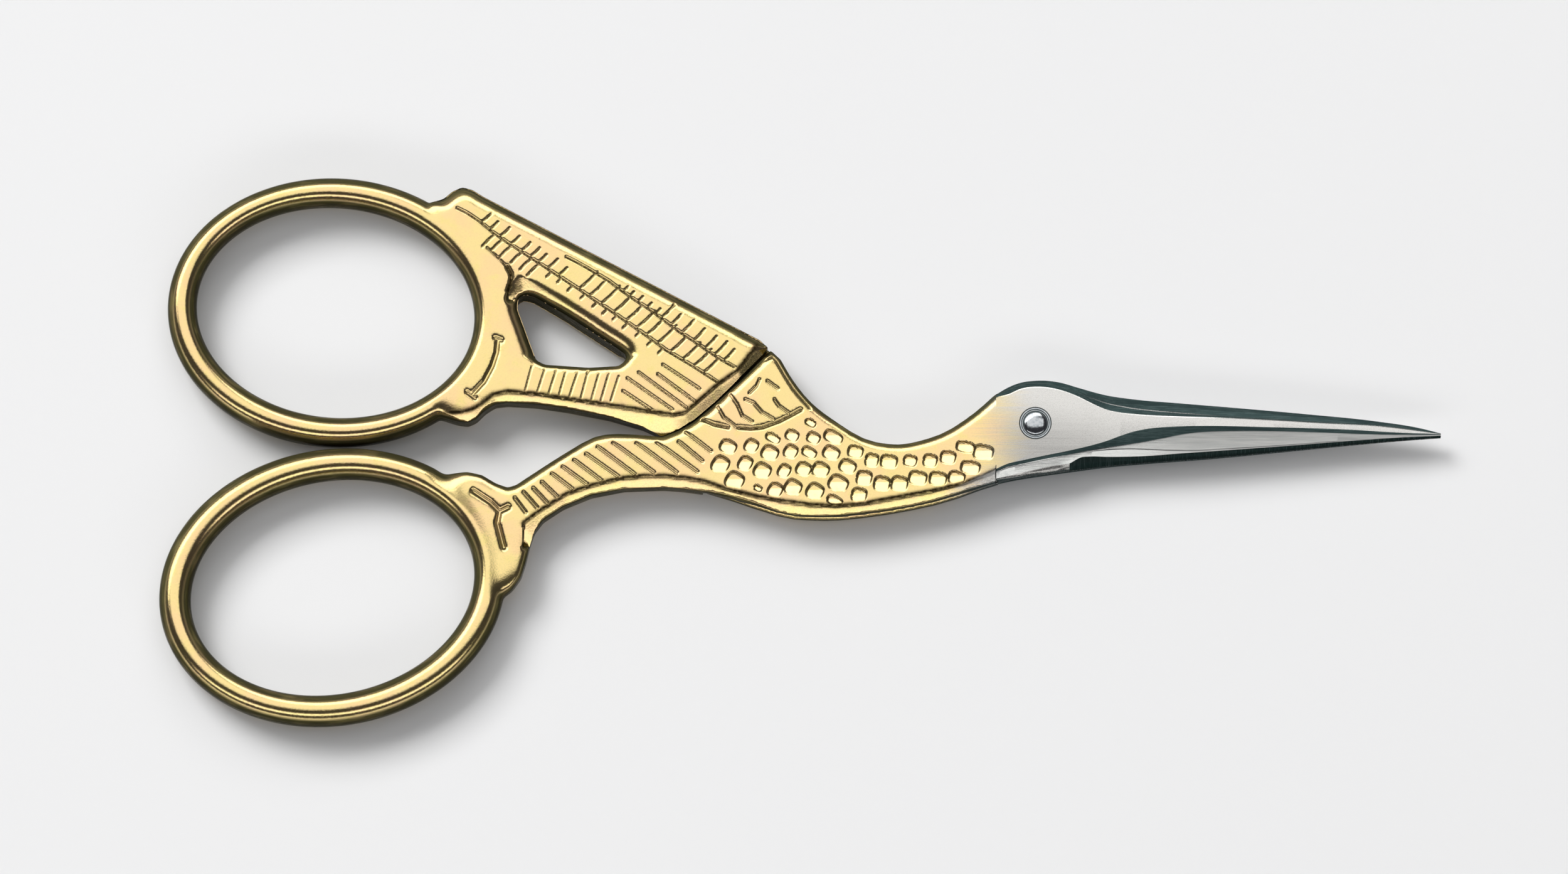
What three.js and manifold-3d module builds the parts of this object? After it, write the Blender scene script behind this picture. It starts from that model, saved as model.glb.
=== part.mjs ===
// Stork embroidery scissors, 90 mm long, in millimetres and closed.
// The origin is on the pivot axis in the resting plane, +X runs to the tips of the blades,
// +Y to the wing and +Z to the face that shows the domed end of the pin.

import * as THREE from 'three';
import { mergeVertices } from 'three/addons/utils/BufferGeometryUtils.js';
import Module from 'manifold-3d';

const wasm = await Module();
wasm.setup();

// Thickness of the forgings: whole at the handles, one plate of each half where they cross
const handleThickness = 3.6;
const plateThickness = 1.5;
const partingGap = 0.04;
const closedGap = 0.14;

// Finger loops, which touch each other when closed; tilts are in degrees
const upperLoop = {
  holeLength: 19.6, holeWidth: 15, holeTilt: -6, wall: 2.03, rimTilt: -3.4, holeEndX: -39.5, side: 1,
};
const lowerLoop = {
  holeLength: 20.1, holeWidth: 15.1, holeTilt: 12, wall: 2.2, rimTilt: 10.4, holeEndX: -39.45, side: -1,
};
const loopContactY = -1.56;
const loopSteps = 64;
const loopSectionSteps = 12;
const loopSquareness = 0.85;

// Wing
const wingEdgeWidth = 0.55;
const wingEdgeDepth = 0.6;
const wingEndSlopeWidth = 1.1;
const wingEndSlopeDepth = 0.75;

// Body, neck and head
const bodyEdgeWidth = 0.65;
const bodyEdgeDepth = 0.6;

// Blades
const bladeLength = 28.55;
const bladeRootX = 0.9;
const bladeTaperX = 3.2;
const bladeTipThickness = 0.42;
const bladeStepDepth = 0.16;
const hollowDepth = 0.12;
const cuttingEdgeThickness = 0.08;
const bladeSteps = 28;

// Pivot pin
const shankDiameter = 1.85;
const headDiameter = 4.2;
const headHeight = 0.7;
const headChamfer = 0.12;
const headClearance = 0.06;
const turningClearance = 0.035;
const fixedClearance = 0.02;
const rimSeatDiameter = 2.29;
const rimSeatDepth = 0.27;
const rimDiameter = 2.21;
const rimHeight = 0.24;
const domeDiameter = 1.5;
const domeRise = 0.22;
const domeGroove = 0.05;
const domeSteps = 5;
const roundSteps = 40;

// Heights that follow from the thicknesses
const midZ = handleThickness / 2;
const frontPlateZ = midZ + partingGap / 2;
const backPlateZ = midZ - partingGap / 2;
const frontFaceZ = frontPlateZ + plateThickness;
const backFaceZ = backPlateZ - plateThickness;

const gilt = { color: 0xe3b873, roughness: 0.32, metalness: 1 };
const steel = { color: 0xb9b4ab, roughness: 0.3, metalness: 1 };
const farAway = 100;

// Outlines of the stork in the X-Y plane, from left to right along its upper side

// Where the wing ends and the body starts, from the foot of the wing to its top
const shoulder = [
  [-26.3, -0.85], [-25.2, -0.42], [-24, 0.3], [-22.6, 1.5], [-21.2, 2.85], [-18.75, 5.35],
];

// Where the leg ends on the back and the back half's body starts
const hip = [
  [-26.3, -0.85], [-25.2, -2], [-24.1, -3.45], [-23.3, -4.78],
];

// Nape and crown, from the top of the shoulder to the root of the blade
const nape = [
  [-18.6, 5.25], [-17.9, 4.6], [-16.98, 3.05], [-15.75, 1.54], [-14.17, 0.3], [-12.04, -1],
  [-10, -1.42], [-8.3, -1.22], [-6.25, -0.5], [-4.2, 0.88], [-2.6, 2.26], [-0.97, 2.98],
  [0.65, 3.08], [3.1, 2.5],
];

// Throat and belly, from the root of the blade back to the leg
const belly = [
  [2.85, -2.3], [2.3, -2.95], [1.2, -3.34], [-1.7, -3.84], [-5, -4.82], [-7.3, -5.5], [-10.5, -6.12],
  [-13.6, -6.5], [-15.6, -6.52], [-17.55, -6.35], [-20, -5.62], [-23.3, -4.78], [-26.1, -4.5],
];

const legTop = [
  [-36.5, -4.3], [-35, -3.3], [-32.9, -1.95], [-31, -0.9], [-29.4, -0.68], [-27.4, -0.78],
];
const legUnderside = [
  [-28.9, -4.6], [-31.2, -5.05], [-33.15, -5.85], [-34.6, -6.8],
];
const kneeTop = [
  [-41.2, -3.45], [-39.97, -3.36], [-38.9, -3.6], [-37.9, -4.2], [-37.1, -4.48],
];
const spur = [
  [-35.2, -7.6], [-35.55, -8.6], [-35.8, -9.7], [-36.15, -10.8], [-36.9, -11.9],
];

const wingCorner = [
  [-42.5, 15.85], [-41.75, 15.95], [-41.05, 16.55], [-40.35, 16.85], [-39.6, 16.65],
];
const wingTop = [
  [-38.9, 16.2], [-19.35, 5.95],
];
const wingBar = [
  [-27.6, -0.2], [-30, 0.5], [-33, 1.08], [-35.2, 1.4], [-37.1, 1.5], [-38, 1.4],
  [-38.7, 0.95], [-39.3, 0.35], [-39.9, 0.08], [-40.6, 0.15], [-41.6, 0.4],
];
const wingHole = [
  [-36.35, 9], [-35.9, 9.25], [-35.2, 9.1], [-33.05, 7.85], [-29.3, 5.4], [-28.8, 4.95],
  [-28.8, 4.5], [-29.3, 4.1], [-31.4, 3.98], [-34.5, 4.2], [-35.1, 4.5], [-35.9, 6.7],
  [-36.45, 8.2],
];

// Lines of the front blade: its spine, the edge of the spine's slope, the two sides of the step
// in its face, the start of the cutting bevel and the cutting edge
const spineLine = [
  [0.9, 3.05], [3, 2.53], [5, 1.98], [7, 1.68], [10, 1.44], [14, 1.13], [19, 0.7], [24, 0.22],
  [27, -0.21], [28.55, -0.55],
];
const slopeLine = [
  [0.9, 2.6], [3, 2.1], [5, 1.1], [6.2, 0.75], [8, 0.6], [10, 0.52], [14, 0.42], [20, 0.1],
  [25, -0.18], [28.55, -0.62],
];
const stepTopLine = [
  [0.9, -2.25], [3, -1.9], [5, -1.3], [7, -0.62], [8.4, -0.32], [10, -0.23], [17, -0.26],
  [22, -0.39], [26, -0.6], [28.55, -0.66],
];
const stepFootLine = [
  [0.9, -2.45], [3, -2.15], [5, -1.67], [7, -1.37], [10, -0.8], [12, -0.56], [14, -0.5],
  [20, -0.58], [24, -0.72], [28.55, -0.7],
];
const bevelLine = [
  [0.9, -3.3], [2.2, -3.1], [3, -2.5], [4, -2.28], [7, -2.3], [10, -2.15], [14, -1.9],
  [17, -1.66], [22, -1.2], [26, -0.9], [28.55, -0.76],
];
const edgeLine = [
  [0.9, -3.42], [3, -3.13], [5, -2.87], [8, -2.61], [12, -2.32], [17, -1.86], [22, -1.38],
  [26, -1.03], [28.55, -0.85],
];

// The lines are drawn for this length, and stretched or shortened to the blade's own
const drawnBladeLength = spineLine[spineLine.length - 1][0];
const bladeStretch = bladeLength / drawnBladeLength;

const point = (x, y) => new THREE.Vector2(x, y);
const asPoints = (line) => line.map(([x, y]) => point(x, y));

// A line moved by a distance, in a direction given in degrees
function moved(line, distance, degrees) {
  const direction = THREE.MathUtils.degToRad(degrees);
  const dx = distance * Math.cos(direction);
  const dy = distance * Math.sin(direction);
  return line.map(([x, y]) => [x + dx, y + dy]);
}

function throughPoints(line, steps) {
  return new THREE.SplineCurve(asPoints(line)).getPoints(steps);
}

// The height of a line at any x
function heightAt(line, x) {
  const next = line.findIndex(([knotX]) => knotX >= x);
  if (next === 0) return line[0][1];
  if (next < 0) return line[line.length - 1][1];
  const [x0, y0] = line[next - 1];
  const [x1, y1] = line[next];
  return THREE.MathUtils.lerp(y0, y1, (x - x0) / (x1 - x0));
}

// A closed mesh with merged vertices becomes a solid that can be joined and cut
function solidOf(geometry) {
  geometry.deleteAttribute('normal');
  geometry.deleteAttribute('uv');
  const merged = mergeVertices(geometry, 1e-5);
  return new wasm.Manifold(new wasm.Mesh({
    numProp: 3,
    vertProperties: Float32Array.from(merged.attributes.position.array),
    triVerts: Uint32Array.from(merged.index.array),
  }));
}

function meshOf(name, solid, finish) {
  const { vertProperties, triVerts } = solid.getMesh();
  const geometry = new THREE.BufferGeometry();
  geometry.setAttribute('position', new THREE.BufferAttribute(vertProperties, 3));
  geometry.setIndex(new THREE.BufferAttribute(triVerts, 1));
  geometry.computeVertexNormals();
  const mesh = new THREE.Mesh(geometry, new THREE.MeshStandardMaterial(finish));
  mesh.name = name;
  return mesh;
}

// A closed skin over rings of points, which meet again at the first ring or end in two caps
function skin(rings, meetsAgain) {
  const around = rings[0].length;
  const triangles = [];
  const bands = meetsAgain ? rings.length : rings.length - 1;
  for (let i = 0; i < bands; i += 1) {
    const here = i * around;
    const there = ((i + 1) % rings.length) * around;
    for (let j = 0; j < around; j += 1) {
      const next = (j + 1) % around;
      triangles.push(here + j, there + j, there + next);
      triangles.push(here + j, there + next, here + next);
    }
  }
  if (!meetsAgain) {
    const capOf = (ring) => THREE.ShapeUtils.triangulateShape(ring.map((p) => point(p.y, p.z)), []);
    const end = (rings.length - 1) * around;
    capOf(rings[0]).forEach(([a, b, c]) => triangles.push(a, c, b));
    capOf(rings[rings.length - 1]).forEach(([a, b, c]) => triangles.push(end + a, end + b, end + c));
  }
  const geometry = new THREE.BufferGeometry();
  const positions = rings.flat().flatMap((p) => [p.x, p.y, p.z]);
  geometry.setAttribute('position', new THREE.Float32BufferAttribute(positions, 3));
  geometry.setIndex(triangles);
  return solidOf(geometry);
}

// A plate with rounded edges on both faces, centred on the parting plane
function roundedPlate(outline, holes, thickness, edgeWidth, edgeDepth) {
  const shape = new THREE.Shape(outline);
  shape.holes = holes.map((hole) => new THREE.Path([...hole].reverse()));
  const geometry = new THREE.ExtrudeGeometry(shape, {
    depth: thickness - 2 * edgeDepth,
    bevelThickness: edgeDepth,
    bevelSize: edgeWidth,
    bevelOffset: -edgeWidth,
    bevelSegments: 3,
  });
  geometry.translate(0, 0, midZ - thickness / 2 + edgeDepth);
  return solidOf(geometry);
}

// A straight-sided block over an outline, for cutting
function block(outline, lowZ, highZ) {
  const shape = new THREE.Shape(asPoints(outline));
  const geometry = new THREE.ExtrudeGeometry(shape, { depth: highZ - lowZ, bevelEnabled: false });
  geometry.translate(0, 0, lowZ);
  return solidOf(geometry);
}

function everythingAbove(z) {
  const geometry = new THREE.BoxGeometry(2 * farAway, 2 * farAway, farAway);
  geometry.translate(0, 0, z + farAway / 2);
  return solidOf(geometry);
}

// A round solid about the pivot axis, from [radius, z] pairs that start and end on the axis
function turned(profile) {
  const geometry = new THREE.LatheGeometry(asPoints(profile), roundSteps);
  geometry.rotateX(Math.PI / 2);
  return solidOf(geometry);
}

// The radius of a tilted ellipse in a direction, with both angles in radians
function ellipseRadius(halfLength, halfWidth, tilt, direction) {
  const turn = direction - tilt;
  return (halfLength * halfWidth)
    / Math.hypot(halfWidth * Math.cos(turn), halfLength * Math.sin(turn));
}

// The hole of a loop ends at holeEndX, and its rim stops beside the rim of the other loop
function placeLoop(loop) {
  const holeTilt = THREE.MathUtils.degToRad(loop.holeTilt);
  const rimTilt = THREE.MathUtils.degToRad(loop.rimTilt);
  const halfLength = loop.holeLength / 2;
  const halfWidth = loop.holeWidth / 2;
  const rimLength = halfLength + loop.wall;
  const rimWidth = halfWidth + loop.wall;
  const holeReach = Math.hypot(halfLength * Math.cos(holeTilt), halfWidth * Math.sin(holeTilt));
  const rimReach = Math.hypot(rimLength * Math.sin(rimTilt), rimWidth * Math.cos(rimTilt));
  const centreX = loop.holeEndX - holeReach;
  const centreY = loopContactY + loop.side * (rimReach + closedGap / 2);
  return {
    centre: point(centreX, centreY),
    holeRadius: (direction) => ellipseRadius(halfLength, halfWidth, holeTilt, direction),
    rimRadius: (direction) => ellipseRadius(rimLength, rimWidth, rimTilt, direction),
  };
}

// A point of a loop in a direction from its centre: share 0 is at the hole and 1 at the rim
function onLoop(placed, degrees, share) {
  const direction = THREE.MathUtils.degToRad(degrees);
  const radius = THREE.MathUtils.lerp(placed.holeRadius(direction), placed.rimRadius(direction), share);
  return point(radius * Math.cos(direction), radius * Math.sin(direction)).add(placed.centre);
}

// The ring of a finger loop, with an oval section as high as the handles are thick
function ringSolid(placed) {
  const soften = (value) => Math.sign(value) * Math.abs(value) ** loopSquareness;
  const rings = Array.from({ length: loopSteps }, (_, i) => {
    return Array.from({ length: loopSectionSteps }, (__, j) => {
      const angle = (2 * Math.PI * j) / loopSectionSteps;
      const place = onLoop(placed, (360 * i) / loopSteps, 0.5 + 0.5 * soften(Math.cos(angle)));
      return new THREE.Vector3(place.x, place.y, midZ + midZ * soften(Math.sin(angle)));
    });
  });
  return skin(rings, true);
}

// What a loop takes out of the plate that joins it: everything inside the middle of its wall
function loopCutter(placed) {
  const outline = Array.from({ length: loopSteps }, (_, i) => {
    const { x, y } = onLoop(placed, (360 * i) / loopSteps, 0.5);
    return [x, y];
  });
  return block(outline, -farAway, farAway);
}

// Sections across the front blade from its root to its tip, sharp below and hollow ground inside
function bladeSections() {
  return Array.from({ length: bladeSteps + 1 }, (_, i) => {
    const x = THREE.MathUtils.lerp(bladeRootX, bladeLength, i / bladeSteps);
    const y = (line) => heightAt(line, x / bladeStretch);
    const taper = Math.max(0, (x - bladeTaperX) / (bladeLength - bladeTaperX));
    const thickness = THREE.MathUtils.lerp(plateThickness, bladeTipThickness, taper);
    const hollow = hollowDepth * Math.min(1, 4 * taper) * (1 - taper);
    const step = bladeStepDepth * (1 - taper);
    const acrossInside = (part) => THREE.MathUtils.lerp(y(edgeLine), y(spineLine), part);
    const section = [
      [acrossInside(0.8), 0.6 * hollow],
      [acrossInside(0.5), hollow],
      [acrossInside(0.2), 0.6 * hollow],
      [y(edgeLine), 0],
      [y(edgeLine), cuttingEdgeThickness],
      [y(bevelLine), 0.85 * thickness - step],
      [y(stepFootLine), thickness - step],
      [y(stepTopLine), thickness],
      [y(slopeLine), thickness],
      [y(spineLine), 0.62 * thickness],
      [y(spineLine), 0],
    ];
    return section.map(([across, height]) => new THREE.Vector3(x, across, frontPlateZ + height));
  });
}

function frontBlade() {
  return skin(bladeSections(), false);
}

// The back blade is the front one turned over about the middle line of the closed blades
function backBlade() {
  const rings = bladeSections().map((ring) => ring.map((p) => {
    const drawnX = p.x / bladeStretch;
    const middleTwice = heightAt(spineLine, drawnX) + heightAt(edgeLine, drawnX);
    return new THREE.Vector3(p.x, middleTwice - p.y, 2 * midZ - p.z);
  }));
  return skin(rings, false);
}

// Two points well inside a loop's hole, where the outline of the plate that joins it may end
function insideHole(placed, lowDegrees, highDegrees) {
  return [lowDegrees, highDegrees].map((degrees) => onLoop(placed, degrees, -1.5));
}

// Body, neck and head, from the top of the shoulder to the leg
function bodySide() {
  return [
    ...asPoints(nape.slice(0, 1)),
    ...throughPoints(nape.slice(1), 30),
    ...throughPoints(belly, 22),
  ];
}

// Everything beyond the hip, where only one plate of each half runs on to the blades
function crossingOutline() {
  const [topX] = hip[0];
  const [bottomX] = hip[hip.length - 1];
  return [
    [topX, farAway], ...hip, [bottomX, -farAway], [farAway, -farAway], [farAway, farAway],
  ];
}

// Leg and body of the front half, its leg whole and the rest one plate thick
function frontPlate(placed) {
  const outline = [
    ...insideHole(placed, -25, 30),
    ...asPoints(kneeTop),
    ...throughPoints(legTop, 10),
    ...asPoints(moved(shoulder.slice(0, -1), closedGap / 2, -45)),
    ...bodySide(),
    ...asPoints(legUnderside),
    ...asPoints(spur),
  ];
  const whole = roundedPlate(outline, [], frontFaceZ - backFaceZ, bodyEdgeWidth, bodyEdgeDepth);
  return whole.subtract(loopCutter(placed)).subtract(block(crossingOutline(), -farAway, frontPlateZ));
}

// Body of the back half, one plate thick, which runs on into the wing
function backPlate() {
  const underWing = [[-27.2, 0.9], [-24, 4.4], [-21.4, 5.9]];
  const [hipEndX] = hip[hip.length - 1];
  const outline = [
    ...asPoints(underWing),
    ...bodySide().filter(({ x, y }) => y > 0 || x > hipEndX + bodyEdgeWidth),
    ...asPoints(moved([...hip].reverse(), closedGap, 45)),
  ];
  const whole = roundedPlate(outline, [], frontFaceZ - backFaceZ, bodyEdgeWidth, bodyEdgeDepth);
  return whole.subtract(everythingAbove(backPlateZ));
}

// The wing slopes down to the body along the shoulder
function wingEndCutter() {
  const [footX, footY] = shoulder[1];
  const [topX, topY] = shoulder[shoulder.length - 1];
  const direction = Math.atan2(topY - footY, topX - footX);
  const slope = Math.atan2(wingEndSlopeDepth, wingEndSlopeWidth);
  const geometry = new THREE.BoxGeometry(farAway, farAway, farAway);
  geometry.translate(0, 0, farAway / 2);
  geometry.rotateX(slope);
  geometry.rotateZ(direction);
  geometry.translate(footX, footY, handleThickness - wingEndSlopeDepth);
  return solidOf(geometry);
}

function wingPlate(placed) {
  const outline = [
    ...insideHole(placed, -40, 45),
    ...asPoints(wingCorner),
    ...asPoints(wingTop),
    ...asPoints(moved([...shoulder].reverse(), closedGap / 2, 135)),
    ...asPoints(wingBar),
  ];
  const hole = asPoints(wingHole);
  const whole = roundedPlate(outline, [hole], handleThickness, wingEdgeWidth, wingEdgeDepth);
  return whole.subtract(loopCutter(placed)).subtract(wingEndCutter());
}

// The bore of the back half, with a flat seat for the head of the pin
function boreOfBackHalf() {
  const bore = shankDiameter / 2 + turningClearance;
  const seat = headDiameter / 2 + headClearance;
  return turned([[0, -farAway], [seat, -farAway], [seat, headHeight], [bore, headHeight],
    [bore, farAway], [0, farAway]]);
}

// The bore of the front half, which opens out at the face round the rim of the pin
function boreOfFrontHalf() {
  const bore = shankDiameter / 2 + fixedClearance;
  const mouth = rimSeatDiameter / 2;
  return turned([[0, -farAway], [bore, -farAway], [bore, frontFaceZ - rimSeatDepth],
    [mouth, frontFaceZ], [mouth, farAway], [0, farAway]]);
}

function makeFrontHalf() {
  const placed = placeLoop(lowerLoop);
  return frontPlate(placed).add(ringSolid(placed)).add(frontBlade()).subtract(boreOfFrontHalf());
}

function makeBackHalf() {
  const placed = placeLoop(upperLoop);
  const handle = wingPlate(placed).add(ringSolid(placed));
  return handle.add(backPlate()).add(backBlade()).subtract(boreOfBackHalf());
}

// The head bears on the back half, and the rim and dome close the bore of the front half
function makePivotPin() {
  const head = headDiameter / 2;
  const shank = shankDiameter / 2;
  const rim = rimDiameter / 2;
  const dome = domeDiameter / 2;
  const domeProfile = Array.from({ length: domeSteps + 1 }, (_, i) => {
    const angle = (Math.PI / 2) * (i / domeSteps);
    return [dome * Math.cos(angle), frontFaceZ + domeRise * Math.sin(angle)];
  });
  return turned([
    [0, 0],
    [head - headChamfer, 0],
    [head, headChamfer],
    [head, headHeight],
    [shank, headHeight],
    [shank, frontFaceZ - rimHeight],
    [rim, frontFaceZ],
    [shank, frontFaceZ],
    [(shank + dome) / 2, frontFaceZ - domeGroove],
    ...domeProfile,
  ]);
}

const scissors = new THREE.Group();
scissors.add(
  meshOf('front_half', makeFrontHalf(), gilt),
  meshOf('back_half', makeBackHalf(), gilt),
  meshOf('pivot_pin', makePivotPin(), steel),
);

export default scissors;
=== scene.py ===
# Stork embroidery scissors: the forged, engraved and gilded look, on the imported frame
import math
import bpy
import numpy as np
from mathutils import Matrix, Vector, kdtree


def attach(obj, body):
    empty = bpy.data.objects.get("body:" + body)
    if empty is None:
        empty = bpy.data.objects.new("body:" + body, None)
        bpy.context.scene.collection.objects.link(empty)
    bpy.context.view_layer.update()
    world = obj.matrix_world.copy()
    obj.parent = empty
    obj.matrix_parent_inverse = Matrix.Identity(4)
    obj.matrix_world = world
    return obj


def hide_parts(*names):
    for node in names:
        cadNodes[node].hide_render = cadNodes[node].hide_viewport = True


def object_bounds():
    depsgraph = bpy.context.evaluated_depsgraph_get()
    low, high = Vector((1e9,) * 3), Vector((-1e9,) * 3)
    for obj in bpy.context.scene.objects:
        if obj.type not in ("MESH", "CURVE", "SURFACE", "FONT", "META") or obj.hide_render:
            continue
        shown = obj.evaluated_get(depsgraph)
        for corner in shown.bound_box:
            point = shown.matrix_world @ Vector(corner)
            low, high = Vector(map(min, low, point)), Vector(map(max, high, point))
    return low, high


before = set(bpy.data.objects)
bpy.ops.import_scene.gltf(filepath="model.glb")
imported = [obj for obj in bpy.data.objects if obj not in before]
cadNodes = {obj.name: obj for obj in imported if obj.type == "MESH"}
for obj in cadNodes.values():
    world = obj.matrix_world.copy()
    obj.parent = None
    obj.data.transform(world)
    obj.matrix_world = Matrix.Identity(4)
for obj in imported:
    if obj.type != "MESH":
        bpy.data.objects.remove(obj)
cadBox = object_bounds()
mm = 0.001
mergeDistance = 1e-7
print("frame loaded")


def addObject(name, data):
    thing = bpy.data.objects.new(name, data)
    bpy.context.scene.collection.objects.link(thing)
    return thing


def selectOnly(piece):
    bpy.ops.object.select_all(action="DESELECT")
    piece.select_set(True)
    bpy.context.view_layer.objects.active = piece


def editWhole(piece):
    selectOnly(piece)
    bpy.ops.object.mode_set(mode="EDIT")
    bpy.ops.mesh.select_all(action="SELECT")


def smoothByAngle(piece, degrees):
    selectOnly(piece)
    bpy.ops.object.shade_smooth_by_angle(angle=math.radians(degrees))


def applyModifier(piece, kind, **settings):
    selectOnly(piece)
    modifier = piece.modifiers.new(kind.lower(), kind)
    for name, value in settings.items():
        setattr(modifier, name, value)
    bpy.ops.object.modifier_apply(modifier=modifier.name)


def readVectors(items, name):
    values = np.empty(len(items) * 3)
    items.foreach_get(name, values)
    return values.reshape(-1, 3)


def readPoints(piece):
    return readVectors(piece.data.vertices, "co") / mm


def readNormals(piece):
    return readVectors(piece.data.vertices, "normal")


def writePoints(piece, points):
    piece.data.vertices.foreach_set("co", (points * mm).ravel())
    piece.data.update()


def writeValue(piece, name, values):
    attribute = piece.data.attributes.new(name, "FLOAT", "POINT")
    attribute.data.foreach_set("value", values.astype(np.float32))


def softStep(low, high, value):
    share = np.clip((value - low) / (high - low), 0, 1)
    return share * share * (3 - 2 * share)


def cutAcross(piece, x):
    editWhole(piece)
    bpy.ops.mesh.bisect(plane_co=(x * mm, 0, 0), plane_no=(1, 0, 0), use_fill=True,
                        clear_outer=True)
    bpy.ops.object.mode_set(mode="OBJECT")


# A merged copy of one forging, cut off in its head
def cutCopy(nodeName, name, cutX):
    piece = addObject(name, cadNodes[nodeName].data.copy())
    piece.data.materials.clear()
    editWhole(piece)
    bpy.ops.mesh.remove_doubles(threshold=mergeDistance)
    bpy.ops.object.mode_set(mode="OBJECT")
    cutAcross(piece, cutX)
    return piece


# Finger loops, as in the solids: tilted ellipses for the hole and the rim, the directions in
# degrees between which a plate runs on from the loop, and where that plate's edges meet it
loops = {
    "upper": {"centre": (-49.278, 8.049), "hole": (9.8, 7.5, -6), "rim": (11.83, 9.53, -3.4),
              "joined": (-43, 44), "corners": ((-41.9, 15.3), (-41.4, 0.8))},
    "lower": {"centre": (-49.405, -11.471), "hole": (10.05, 7.55, 12), "rim": (12.25, 9.75, 10.4),
              "joined": (-3, 47), "corners": ((-41.2, -3.7), (-37.3, -11.9))},
}
loopHeight = 3.6
loopSquareness = 0.85
# How softly a plate starts: in degrees round the loop, and from where across its section
joining = {"ease": 4, "across": (-0.1, 0.25)}
# How far out the points lie that are drawn onto the loop's skin, and where that fades out
skinPull = {"from": 0.85, "fade": (1.04, 1.12)}


def ellipseRadius(ellipse, direction):
    halfLength, halfWidth, tilt = ellipse
    turn = direction - math.radians(tilt)
    return halfLength * halfWidth / np.hypot(halfWidth * np.cos(turn), halfLength * np.sin(turn))


# Where each point lies in the loop's oval section, whose skin is at an outness of 1
def loopSection(points, loop):
    dx = points[:, 0] - loop["centre"][0]
    dy = points[:, 1] - loop["centre"][1]
    direction = np.arctan2(dy, dx)
    hole = ellipseRadius(loop["hole"], direction)
    rim = ellipseRadius(loop["rim"], direction)
    across = 2 * (np.hypot(dx, dy) - hole) / (rim - hole) - 1
    upright = 2 * points[:, 2] / loopHeight - 1
    power = 2 / loopSquareness
    outness = np.sqrt(np.abs(across) ** power + np.abs(upright) ** power)
    return direction, hole, rim, across, upright, outness


# 1 on the outer side of the loop where a plate runs on from it, and 0 elsewhere
def joinShare(direction, across, loop):
    first, last = loop["joined"]
    ease = joining["ease"]
    turn = np.degrees(direction)
    return (softStep(first - ease, first + ease, turn)
            * (1 - softStep(last - ease, last + ease, turn))
            * softStep(*joining["across"], across))


# The loops get their exact oval section back
def trueLoop(points, loop):
    direction, hole, rim, across, upright, outness = loopSection(points, loop)
    weight = 1 - softStep(*skinPull["fade"], outness)
    weight *= 1 - joinShare(direction, across, loop)
    weight[outness < skinPull["from"]] = 0
    pull = 1 + weight * (outness ** -loopSquareness - 1)
    radius = hole + (rim - hole) * (across * pull + 1) / 2
    moved = points.copy()
    moved[:, 0] = loop["centre"][0] + radius * np.cos(direction)
    moved[:, 1] = loop["centre"][1] + radius * np.sin(direction)
    moved[:, 2] = loopHeight * (upright * pull + 1) / 2
    touched = (weight > 0)[:, None]
    return np.where(touched, moved, points)


forging = {
    "voxel": 0.14, "evenRounds": 4, "smoothFactor": 0.5, "leastShare": 0.02,
    "headSeamX": -2.75, "spare": 1.3, "underHead": 0.06, "tuck": 0.015,
    "mostTriangles": 197000, "smoothAngle": 55,
}
# Where a plate meets a loop: the fillet along the rim, the faces and the two corners
fillet = {"outness": 1.12, "reach": 0.32, "starts": (-44.5, -42), "ends": (-33.5, -32),
          "rounds": 18}
crest = {"fade": (2.6, 3.6), "facing": (0.75, 0.92), "rounds": 90}
joinCorner = {"reach": 0.8, "firstRounds": 60, "lastRounds": 20}


def smoothNear(piece, share, rounds):
    group = piece.vertex_groups.new(name="near")
    for index in np.nonzero(share > forging["leastShare"])[0]:
        group.add([int(index)], float(share[index]), "REPLACE")
    applyModifier(piece, "SMOOTH", factor=forging["smoothFactor"], iterations=rounds,
                  vertex_group="near")
    piece.vertex_groups.clear()


# The faces flow from the loop's crest into the plate
def blendJoint(piece, loop):
    points = readPoints(piece)
    direction, hole, rim, across, upright, outness = loopSection(points, loop)
    share = joinShare(direction, across, loop) * (1 - softStep(*crest["fade"], outness))
    facing = softStep(*crest["facing"], np.abs(readNormals(piece)[:, 2]))
    smoothNear(piece, share * facing, crest["rounds"])


def smoothCorners(piece, loop, rounds):
    flat = readPoints(piece)[:, :2]
    distance = np.min([np.hypot(*(flat - corner).T) for corner in loop["corners"]], axis=0)
    smoothNear(piece, np.exp(-(distance / joinCorner["reach"]) ** 2), rounds)


def forgeHalf(nodeName, name, loop):
    piece = cutCopy(nodeName, name, forging["headSeamX"] + forging["spare"])
    applyModifier(piece, "REMESH", mode="VOXEL", voxel_size=forging["voxel"] * mm)
    applyModifier(piece, "SMOOTH", factor=forging["smoothFactor"], iterations=forging["evenRounds"])
    points = readPoints(piece)
    outness = loopSection(points, loop)[5]
    nearJoint = np.exp(-((outness - fillet["outness"]) / fillet["reach"]) ** 2)
    nearJoint *= (softStep(*fillet["starts"], points[:, 0])
                  * (1 - softStep(*fillet["ends"], points[:, 0])))
    smoothNear(piece, nearJoint, fillet["rounds"])
    smoothCorners(piece, loop, joinCorner["firstRounds"])
    writePoints(piece, trueLoop(readPoints(piece), loop))
    blendJoint(piece, loop)
    smoothCorners(piece, loop, joinCorner["lastRounds"])
    return piece


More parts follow.
